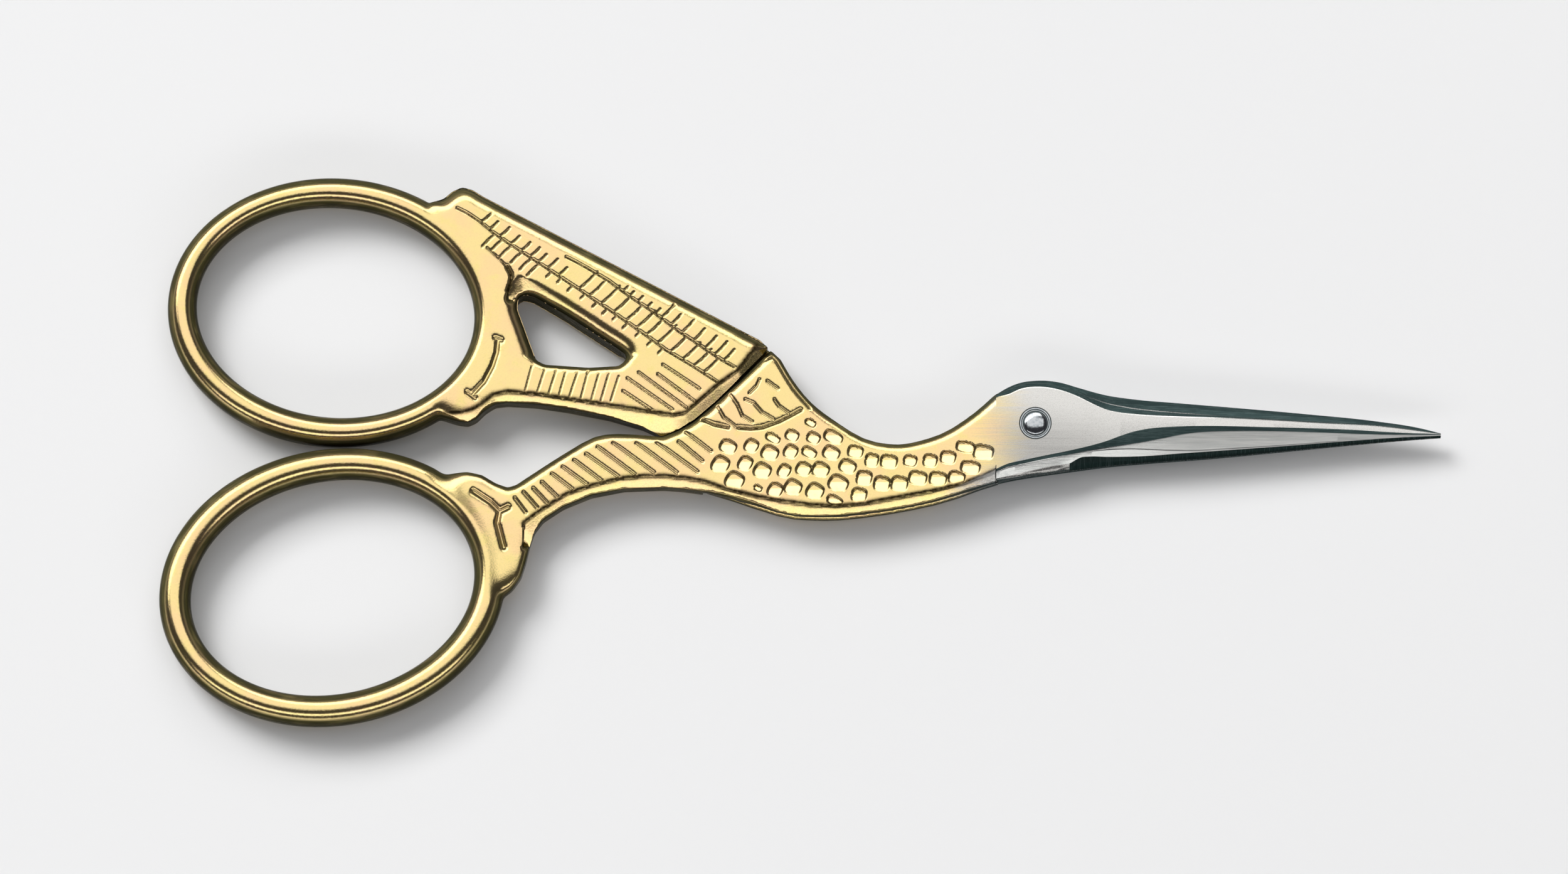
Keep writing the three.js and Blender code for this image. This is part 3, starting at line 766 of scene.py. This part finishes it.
# A smooth line through its knots, read at any x
def lineAt(knots, x):
    knotX, knotY = np.array(knots, float).T
    slope = np.gradient(knotY, knotX)
    i = np.clip(np.searchsorted(knotX, x) - 1, 0, len(knotX) - 2)
    span = knotX[i + 1] - knotX[i]
    share = (x - knotX[i]) / span
    return (
        knotY[i] * (1 + 2 * share) * (1 - share) ** 2
        + knotY[i + 1] * (3 - 2 * share) * share ** 2
        + slope[i] * span * share * (1 - share) ** 2
        - slope[i + 1] * span * share ** 2 * (1 - share)
    )


# Each corner of a section is cut into two, close together
def roundedCorners(corners):
    rounded = []
    for i, corner in enumerate(corners):
        for other in (corners[i - 1], corners[(i + 1) % len(corners)]):
            length = max(math.dist(corner, other), blade["shortest"])
            share = min(blade["ridgeRounding"] / length, blade["mostRounding"])
            rounded.append([a + (b - a) * share for a, b in zip(corner, other)])
    return rounded


# The section across the head and blade at x, as y and height over the parting face
def bladeSection(x):
    y = {name: lineAt(knots, x) for name, knots in bladeLines.items()}
    taper = max(0, (x - blade["taperX"]) / (blade["tipX"] - blade["taperX"]))
    thick = blade["thickness"] + (blade["tipThickness"] - blade["thickness"]) * taper
    thin = thick / blade["thickness"]
    step = lineAt(blade["stepDepth"], x)
    edgeHeight = min(lineAt(blade["edgeHeight"], x), blade["edgeHighest"] * thick)
    steepShare = lineAt(blade["steepShare"], x)
    width = max(y["stepFoot"] - y["bevel"], 0)
    creaseHeight = thick - step - blade["gentle"] * (1 - steepShare) * width
    bevelHeight = max(creaseHeight - blade["steep"] * steepShare * width,
                      blade["bevelLowest"] * thick)
    hollow = blade["hollow"] * min(1, blade["hollowEase"] * taper) * (1 - taper)
    inside = [(y["edge"] + (y["spine"] - y["edge"]) * part, 4 * part * (1 - part) * hollow)
              for part in blade["hollowParts"]]
    bevelMiddle, backMiddle = blade["bevelMiddle"], blade["backMiddle"]
    return roundedCorners([
        (y["spine"], 0), *inside, (y["edge"], 0), (y["edge"], edgeHeight),
        (bevelMiddle["edge"] * y["edge"] + bevelMiddle["bevel"] * y["bevel"],
         edgeHeight + bevelMiddle["height"] * (bevelHeight - edgeHeight)),
        (y["bevel"], bevelHeight), (y["bevel"] + steepShare * width, creaseHeight),
        (y["stepFoot"], thick - step), (y["stepTop"], thick), (y["faceTop"], thick),
        (y["ridge"], thick - blade["ridgeDrop"] * thin),
        (backMiddle["ridge"] * y["ridge"] + backMiddle["spine"] * y["spine"],
         thick - backMiddle["drop"] * thin),
        (y["spine"], blade["spineHeight"] * thick),
    ])


# The strips of a section with a finish of their own, in the order of the head's finishes
finishColumns = {
    "slope": (23, 24, 27, 29, 30, 31, 32, 33),
    "ground": (12, 13, 14, 15, 16, 17, 18),
    "brushed": (19, 20, 21, 22),
}


# A flat grid is wrapped round the sections, closed at both ends and turned over for the back
def makeBlade(name, turnedOver):
    count = len(bladeSection(0))
    bpy.ops.object.select_all(action="DESELECT")
    bpy.ops.mesh.primitive_grid_add(x_subdivisions=blade["stations"], y_subdivisions=count, size=1)
    piece = bpy.context.active_object
    piece.name = name
    piece.data.name = name
    firstX, lastX = forging["headSeamX"], blade["tipX"]
    shares = np.linspace(0, 1, blade["stations"] + 1) ** blade["crowding"]
    stations = firstX + (lastX - firstX) * shares
    sections = np.array([bladeSection(x) for x in stations])
    grid = readPoints(piece) * mm
    along = np.rint((grid[:, 0] + 0.5) * blade["stations"]).astype(int)
    around = np.rint((grid[:, 1] + 0.5) * count).astype(int) % count
    for face in piece.data.polygons:
        column = int((face.center.y + 0.5) * count)
        x = stations[int((face.center.x + 0.5) * blade["stations"])]
        for index, (strip, columns) in enumerate(finishColumns.items()):
            if column in columns and (strip != "ground" or x > blade["groundFromX"]):
                face.material_index = index + 1
    points = np.empty((len(grid), 3))
    points[:, 0] = stations[along]
    points[:, 1:] = sections[along, around]
    points[:, 2] += blade["plateZ"]
    if turnedOver:
        middleTwice = sum(lineAt(bladeLines[side], points[:, 0]) for side in ("spine", "edge"))
        points[:, 1] = middleTwice - points[:, 1]
        points[:, 2] = loopHeight - points[:, 2]
    writePoints(piece, points)
    editWhole(piece)
    bpy.ops.mesh.remove_doubles(threshold=mergeDistance)
    bpy.ops.mesh.select_all(action="DESELECT")
    bpy.ops.mesh.select_non_manifold()
    bpy.ops.mesh.edge_face_add()
    bpy.ops.mesh.select_all(action="SELECT")
    bpy.ops.mesh.normals_make_consistent(inside=False)
    bpy.ops.object.mode_set(mode="OBJECT")
    return piece


# Radius and height of the bores' walls, from below the half to above it
bores = {
    "front": [(0.945, -1), (0.945, 3.05), (1.145, 3.32), (1.145, 5)],
    "back": [(2.16, -1), (2.16, 0.7), (0.96, 0.7), (0.96, 5)],
    "steps": 80,
}


# A round solid from radii and heights: a disc is drawn up and widened or narrowed at each height
def turned(walls, steps):
    firstRadius, firstHeight = walls[0]
    bpy.ops.object.select_all(action="DESELECT")
    bpy.ops.mesh.primitive_circle_add(vertices=steps, radius=firstRadius * mm, fill_type="NGON",
                                      location=(0, 0, firstHeight * mm))
    solid = bpy.context.active_object
    editWhole(solid)
    for (radius, height), (nextRadius, nextHeight) in zip(walls, walls[1:]):
        bpy.ops.mesh.extrude_region_move(
            TRANSFORM_OT_translate={"value": (0, 0, (nextHeight - height) * mm)})
        widen = nextRadius / radius
        bpy.ops.transform.resize(value=(widen, widen, 1), center_override=(0, 0, nextHeight * mm))
    bpy.ops.mesh.select_all(action="SELECT")
    bpy.ops.mesh.normals_make_consistent(inside=False)
    bpy.ops.object.mode_set(mode="OBJECT")
    return solid


def drill(piece, walls):
    drillBit = turned(walls, bores["steps"])
    applyModifier(piece, "BOOLEAN", operation="DIFFERENCE", object=drillBit, solver="EXACT")
    bpy.data.objects.remove(drillBit)


frontHead = makeBlade("front_head_and_blade", False)
backHead = makeBlade("back_head_and_blade", True)
drill(frontHead, bores["front"])
drill(backHead, bores["back"])
for piece in (frontHead, backHead):
    smoothByAngle(piece, blade["smoothAngle"])
    applyModifier(piece, "WEIGHTED_NORMAL", mode="FACE_AREA", weight=50, keep_sharp=True)
print("heads and blades shaped")

# The pin from the back to the front: head, shank, rim, groove and dome
pin = {
    "walls": [
        (1.98, 0), (2.06, 0.03), (2.1, 0.1), (2.1, 0.64), (2.05, 0.7), (0.92, 0.7), (0.92, 3.08),
        (1.1, 3.3), (1.07, 3.33), (1, 3.33), (0.96, 3.3), (0.93, 3.25), (0.89, 3.25), (0.87, 3.3),
        (0.83, 3.36), (0.76, 3.41), (0.66, 3.45), (0.52, 3.49), (0.36, 3.52), (0.2, 3.535),
        (0.06, 3.54),
    ],
    "steps": 96, "smoothAngle": 32,
}
pinPiece = turned(pin["walls"], pin["steps"])
pinPiece.name = "domed_pin"
pinPiece.data.name = "domed_pin"
smoothByAngle(pinPiece, pin["smoothAngle"])
print("pin turned")


def newMaterial(name):
    material = bpy.data.materials.new(name)
    material.use_nodes = True
    material.node_tree.nodes.clear()
    return material, material.node_tree


# A new node with its inputs set, where a socket given as a value is linked
def addNode(tree, kind, inputs=None, **settings):
    node = tree.nodes.new("ShaderNode" + kind)
    for name, value in settings.items():
        setattr(node, name, value)
    for name, value in (inputs or {}).items():
        if isinstance(value, bpy.types.NodeSocket):
            tree.links.new(value, node.inputs[name])
        else:
            node.inputs[name].default_value = value
    return node


# Noise on the metal: its grains to a mm along x, y and z, and the values that a blend spans
patterns = {
    "clouds": {"grains": (0.35, 0.35, 0.35), "span": (0.4, 0.62)},
    "patches": {"grains": (0.9, 0.9, 0.9), "detail": 4, "span": (0.52, 0.75)},
    "glint": {"grains": (0.5, 0.5, 2.5), "span": (0.45, 0.75)},
    "mottle": {"grains": (3.5, 3.5, 3.5), "detail": 4, "span": (0.3, 0.6)},
    "grain": {"grains": (9, 9, 9), "detail": 5, "roughness": 0.6},
    "fineBrushing": {"grains": (0.22, 14, 14), "detail": 4, "roughness": 0.6},
    "coarseBrushing": {"grains": (0.1, 3.2, 3.2), "roughness": 0.5},
    "grinding": {"grains": (11, 0.5, 0.5), "roughness": 0.6},
    "polish": {"grains": (4, 4, 4), "detail": 4},
}
coarseShare = 0.35
mmPerMetre = 1000


# Millimetres on the piece, stretched by a scale for each axis
def placeOn(tree, scale):
    place = addNode(tree, "TexCoord").outputs["Object"]
    size = [mmPerMetre * value for value in scale]
    return addNode(tree, "Mapping", {"Vector": place, "Scale": size}).outputs[0]


def placeParts(tree):
    return addNode(tree, "SeparateXYZ", {0: placeOn(tree, (1, 1, 1))}).outputs


def patternOn(tree, name):
    pattern = patterns[name]
    return addNode(tree, "TexNoise", {
        "Vector": placeOn(tree, pattern["grains"]), "Scale": 1, "Detail": pattern.get("detail", 3),
        "Roughness": pattern.get("roughness", 0.55)}).outputs["Fac"]


def ramp(tree, value, span, start=0, end=1, curve="SMOOTHSTEP"):
    return addNode(tree, "MapRange", {
        "Value": value, "From Min": span[0], "From Max": span[1], "To Min": start, "To Max": end,
    }, interpolation_type=curve).outputs[0]


def patternShare(tree, name, start=0, end=1):
    return ramp(tree, patternOn(tree, name), patterns[name]["span"], start, end)


def mathOf(tree, operation, first, second):
    return addNode(tree, "Math", {0: first, 1: second}, operation=operation).outputs[0]


def addUp(tree, first, second):
    return mathOf(tree, "ADD", first, second)


def times(tree, first, second):
    return mathOf(tree, "MULTIPLY", first, second)


def blendColour(tree, factor, first, second):
    return addNode(tree, "Mix", {0: factor, 6: first, 7: second}, data_type="RGBA").outputs[2]


# Colours and sheens, and what every metal shares: from where a spot counts as a wall, whose
# dark colour and dark sheen are painted dark reflections, how the wing's side is spared, and the
# spread of the streaks and grains
finish = {
    "gold": (0.96, 0.745, 0.325, 1), "rosyGold": (0.98, 0.7, 0.345, 1),
    "greenGold": (0.91, 0.74, 0.27, 1), "paintedDarkGold": (0.04, 0.042, 0.018, 1),
    "paintedGoldShade": (0.04, 0.025, 0.008, 1), "steel": (0.5, 0.49, 0.465, 1),
    "steelStreak": (0.43, 0.42, 0.4, 1), "paintedHighlightSteel": (0.76, 0.745, 0.71, 1),
    "brushed": (0.74, 0.74, 0.71, 1), "brushedStreak": (0.56, 0.57, 0.55, 1),
    "paintedDarkSteel": (0.04, 0.065, 0.064, 1), "paintedDarkSteelStreak": (0.075, 0.11, 0.107, 1),
    "paintedDarkGroundSteel": (0.022, 0.036, 0.034, 1), "paintedDarkGroundStreak": (0.05, 0.07, 0.068, 1),
    "pinSteel": (0.58, 0.6, 0.61, 1), "pinShade": (0.44, 0.47, 0.49, 1),
    "paintedDarkGoldSheen": (0.07, 0.075, 0.045, 1), "paintedDarkSteelSheen": (0.1, 0.13, 0.13, 1),
    "white": (1, 1, 1, 1), "wall": (0.64, 0.87), "lean": 0.25, "grains": (0.3, 0.7),
    "paintedDarkMetal": 0.35, "gloss": 0.2,
}


# How much a spot lies on a wall, which gets a painted dark reflection: 1 where it stands upright,
# less on the wing's side
def wallShare(tree):
    normal = addNode(tree, "TexCoord").outputs["Normal"]
    parts = addNode(tree, "SeparateXYZ", {0: normal}).outputs
    lean = times(tree, parts["Y"], finish["lean"])
    facing = mathOf(tree, "SUBTRACT", mathOf(tree, "ABSOLUTE", parts["Z"], 0), lean)
    return ramp(tree, facing, finish["wall"], 1, 0)


# Brushing along the blades, as a streaky value round a half
def brushing(tree):
    fine, coarse = patternOn(tree, "fineBrushing"), patternOn(tree, "coarseBrushing")
    return addNode(tree, "Mix", {0: coarseShare, 2: fine, 3: coarse}).outputs[0]


# Bare metal where the dark share is 0, and a painted dark reflection where it is 1: a dark colour
# that hardly mirrors
def finishSurface(material, colour, sheen, paintedDark, roughness, height, bumpDistance):
    tree = material.node_tree
    bump = addNode(tree, "Bump", {"Height": height, "Distance": bumpDistance * mm, "Strength": 1.0})
    metallic = ramp(tree, paintedDark, (0, 1), 1, finish["paintedDarkMetal"], "LINEAR")
    gloss = ramp(tree, paintedDark, (0, 1), finish["gloss"], 0, "LINEAR")
    shader = addNode(tree, "BsdfPrincipled", {
        "Base Color": colour, "Metallic": metallic, "Specular IOR Level": gloss,
        "Specular Tint": sheen, "Roughness": roughness, "Normal": bump.outputs[0]})
    addNode(tree, "OutputMaterial", {"Surface": shader.outputs[0]})
    return material


gilding = {
    "greenPatches": 0.7, "glint": (0.96, 0.85), "faintestShade": 0.72, "roughness": (0.13, 0.22),
    "shadeRoughness": 0.2, "bareRoughness": 0.08, "grain": 0.6, "bareStreaks": 0.4, "bump": 0.01,
}
# Where the gilding is worn through to the steel of the head, and where that steel gets a painted
# highlight
wornHead = {
    "fromTo": (-5, 0), "streaks": (0.38, 0.62), "ragged": 0.7, "lowerSlope": 0.417,
    "lowerSide": (2.05, 2.3), "lowerReach": 2.8, "paintedHighlightSlope": 0.22, "paintedHighlight": (-1.8, 2.4),
    "walls": 0.95,
}


# Polished gilding with painted shade in its cuts and painted dark reflections on its walls, worn
# through to brushed steel at the head
def makeGilding():
    material, tree = newMaterial("gilding_worn_to_steel")
    gold = blendColour(tree, patternShare(tree, "clouds"), finish["gold"], finish["rosyGold"])
    patches = patternShare(tree, "patches", 0, gilding["greenPatches"])
    gold = blendColour(tree, patches, gold, finish["greenGold"])
    # The gold's walls are painted dark, broken by lighter painted glints, in place of their dark
    # reflections
    walls = wallShare(tree)
    paintedWallDark = times(tree, walls, patternShare(tree, "glint", *gilding["glint"]))
    gold = blendColour(tree, paintedWallDark, gold, finish["paintedDarkGold"])
    # Painted shade from the carving darkens the gold, mottled
    paintedShade = addNode(tree, "Attribute", attribute_name="paintedShade").outputs["Fac"]
    shadeAmount = times(tree, paintedShade, patternShare(tree, "mottle", gilding["faintestShade"], 1))
    gold = blendColour(tree, shadeAmount, gold, finish["paintedGoldShade"])
    streaks = brushing(tree)
    streakShare = ramp(tree, streaks, wornHead["streaks"])
    steel = blendColour(tree, streakShare, finish["steelStreak"], finish["steel"])
    # The steel is painted lighter toward its upper side and its tip, a painted highlight
    place = placeParts(tree)
    upAndOut = addUp(tree, place["Y"], times(tree, place["X"], wornHead["paintedHighlightSlope"]))
    steel = blendColour(tree, ramp(tree, upAndOut, wornHead["paintedHighlight"]), steel, finish["paintedHighlightSteel"])
    # The steel's walls are painted dark in place of their dark reflections
    steel = blendColour(tree, times(tree, walls, wornHead["walls"]), steel, finish["paintedDarkSteel"])
    sloping = times(tree, place["X"], wornHead["lowerSlope"])
    lowerSide = mathOf(tree, "SUBTRACT", sloping, place["Y"])
    ragged = ramp(tree, streaks, finish["grains"], -wornHead["ragged"], wornHead["ragged"])
    further = ramp(tree, lowerSide, wornHead["lowerSide"], 0, wornHead["lowerReach"])
    edge = addUp(tree, addUp(tree, place["X"], ragged), further)
    bare = ramp(tree, edge, wornHead["fromTo"])
    colour = blendColour(tree, bare, gold, steel)
    wallSheen = blendColour(tree, bare, finish["paintedDarkGoldSheen"], finish["paintedDarkSteelSheen"])
    sheen = blendColour(tree, paintedWallDark, finish["white"], wallSheen)
    grain = patternOn(tree, "grain")
    roughness = ramp(tree, grain, finish["grains"], *gilding["roughness"])
    roughness = addUp(tree, roughness, times(tree, shadeAmount, gilding["shadeRoughness"]))
    roughness = addUp(tree, roughness, times(tree, bare, gilding["bareRoughness"]))
    bareStreaks = times(tree, streaks, times(tree, bare, gilding["bareStreaks"]))
    height = addUp(tree, times(tree, grain, gilding["grain"]), bareStreaks)
    return finishSurface(material, colour, sheen, paintedWallDark, roughness, height, gilding["bump"])


# The polished slopes of the blade's back and step, and the cutting bevel with fine grinding
# lines across it, all painted dark in place of the dark reflections that they show
paintedDarkSteels = {
    "painted_dark_polished_slope": {
        "colours": ("paintedDarkSteel", "paintedDarkSteelStreak"), "span": (0.42, 0.66),
        "roughness": (0.2, 0.32), "bump": 0.006},
    "painted_dark_cutting_edge": {
        "colours": ("paintedDarkGroundSteel", "paintedDarkGroundStreak"), "span": (0.5, 0.72),
        "roughness": (0.2, 0.34), "bump": 0.012},
}


def makePaintedDarkSteel(name, makeLines):
    material, tree = newMaterial(name)
    steel = paintedDarkSteels[name]
    lines = makeLines(tree)
    plain, streak = [finish[colour] for colour in steel["colours"]]
    colour = blendColour(tree, ramp(tree, lines, steel["span"]), plain, streak)
    roughness = ramp(tree, lines, finish["grains"], *steel["roughness"])
    return finishSurface(material, colour, finish["paintedDarkSteelSheen"], 1, roughness, lines,
                         steel["bump"])


def grinding(tree):
    return patternOn(tree, "grinding")


# The lower face mirrors less and less toward the tip
brushedFace = {"span": (0.36, 0.64), "uneven": 0.1, "x": (6, 13), "roughness": (0.18, 0.34),
               "bump": 0.006}


def makeBrushedFace():
    material, tree = newMaterial("brushed_lower_face")
    streaks = brushing(tree)
    streakShare = ramp(tree, streaks, brushedFace["span"])
    colour = blendColour(tree, streakShare, finish["brushedStreak"], finish["brushed"])
    uneven = ramp(tree, streaks, finish["grains"], 0, brushedFace["uneven"])
    duller = ramp(tree, placeParts(tree)["X"], brushedFace["x"], *brushedFace["roughness"])
    roughness = addUp(tree, uneven, duller)
    return finishSurface(material, colour, finish["white"], 0, roughness, streaks,
                         brushedFace["bump"])


# The pin is polished, and its walls are painted dark in place of their dark reflections
pinPolish = {"span": (0.4, 0.65), "walls": 0.9, "roughness": (0.1, 0.2), "bump": 0.006}


def makePinSteel():
    material, tree = newMaterial("polished_pin")
    polish = patternOn(tree, "polish")
    shade = ramp(tree, polish, pinPolish["span"])
    colour = blendColour(tree, shade, finish["pinSteel"], finish["pinShade"])
    walls = wallShare(tree)
    colour = blendColour(tree, times(tree, walls, pinPolish["walls"]), colour, finish["paintedDarkSteel"])
    sheen = blendColour(tree, walls, finish["white"], finish["paintedDarkSteelSheen"])
    roughness = ramp(tree, polish, finish["grains"], *pinPolish["roughness"])
    return finishSurface(material, colour, sheen, walls, roughness, polish, pinPolish["bump"])


gildedMetal = makeGilding()
for piece in (stork, wing):
    piece.data.materials.append(gildedMetal)
headFinishes = (gildedMetal, makePaintedDarkSteel("painted_dark_polished_slope", brushing),
                makePaintedDarkSteel("painted_dark_cutting_edge", grinding), makeBrushedFace())
for piece in (frontHead, backHead):
    for material in headFinishes:
        piece.data.materials.append(material)
pinPiece.data.materials.append(makePinSteel())
print("metals finished")

for piece, body, node, slot in (
    (stork, "front", "front_half", "gilt"), (frontHead, "front", "front_half", "steel"),
    (wing, "back", "back_half", "gilt"), (backHead, "back", "back_half", "steel"),
    (pinPiece, "front", "pivot_pin", "steel"),
):
    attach(piece, body)
    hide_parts(node)

view = {
    "lookAt": (-17.67, -0.78, 1.8), "distance": 1000, "frameWidth": 110.38, "sensor": 36,
    "farEnd": 10,
}


def placeCamera():
    tilt = math.radians(cameraElevation)
    away = Vector((0, -math.cos(tilt), math.sin(tilt))) * view["distance"] * mm
    data = bpy.data.cameras.new("camera")
    data.sensor_width = view["sensor"]
    data.lens = view["sensor"] * view["distance"] / view["frameWidth"]
    data.clip_end = view["farEnd"]
    camera = addObject("camera", data)
    camera.location = Vector(view["lookAt"]) * mm + away
    camera.rotation_euler = (math.pi / 2 - tilt, 0, 0)
    bpy.context.scene.camera = camera


studio = {
    "floorMiddle": (-0.0177, 0, 0), "floorRadius": 600, "floorSteps": 64,
    "floorColour": (0.775, 0.775, 0.775, 1), "floorGlow": 0.05,
    "lampsAround": (-0.018, 0, 0), "world": (0.04, 0.04, 0.045, 1),
}


# The floor glows a little to the camera and in the metal, but lights nothing
def makeFloor():
    bpy.ops.object.select_all(action="DESELECT")
    bpy.ops.mesh.primitive_circle_add(
        vertices=studio["floorSteps"], radius=studio["floorRadius"] * mm, fill_type="NGON",
        location=studio["floorMiddle"])
    floor = bpy.context.active_object
    floor.name = "floor"
    material, tree = newMaterial("paleFloor")
    ray = addNode(tree, "LightPath").outputs
    seen = addUp(tree, ray["Is Camera Ray"], ray["Is Glossy Ray"])
    seen = addUp(tree, seen, ray["Is Transmission Ray"])
    glow = addNode(tree, "Emission", {"Strength": times(tree, seen, studio["floorGlow"])})
    diffuse = addNode(tree, "BsdfDiffuse", {"Color": studio["floorColour"]})
    both = addNode(tree, "AddShader", {0: diffuse.outputs[0], 1: glow.outputs[0]})
    addNode(tree, "OutputMaterial", {"Surface": both.outputs[0]})
    floor.data.materials.append(material)


# Each lamp: its height over the horizon and turn from the wing's side in degrees, its distance,
# width and height in mm, how bright its face is, and whether the metal mirrors it
lamps = {
    "overhead": (79, 0, 2200, 2700, 1240, 1.02, True),
    "window": (49, 24, 2200, 3800, 1120, 2.0, True),
    "low": (38, 180, 2000, 4000, 600, 1.4, True),
    "key": (45, 40, 2200, 1000, 900, 11.6, False),
}


def hangLamps():
    for name, (elevation, degrees, distance, width, height, glow, mirrored) in lamps.items():
        data = bpy.data.lights.new(name, "AREA")
        data.shape = "RECTANGLE"
        data.size = width * mm
        data.size_y = height * mm
        data.energy = math.pi * glow * data.size * data.size_y
        light = addObject(name, data)
        high, turn = math.radians(elevation), math.radians(degrees)
        level = math.cos(high)
        away = Vector((-math.sin(turn) * level, math.cos(turn) * level, math.sin(high)))
        light.location = Vector(studio["lampsAround"]) + away * distance * mm
        light.rotation_euler = (-away).to_track_quat("-Z", "Y").to_euler()
        light.visible_glossy = mirrored
    world = bpy.data.worlds.new("studio")
    world.use_nodes = True
    world.node_tree.nodes["Background"].inputs["Color"].default_value = studio["world"]
    bpy.context.scene.world = world
    bpy.context.scene.view_settings.view_transform = "Standard"


placeCamera()
makeFloor()
hangLamps()
print("camera, floor and lamps placed")
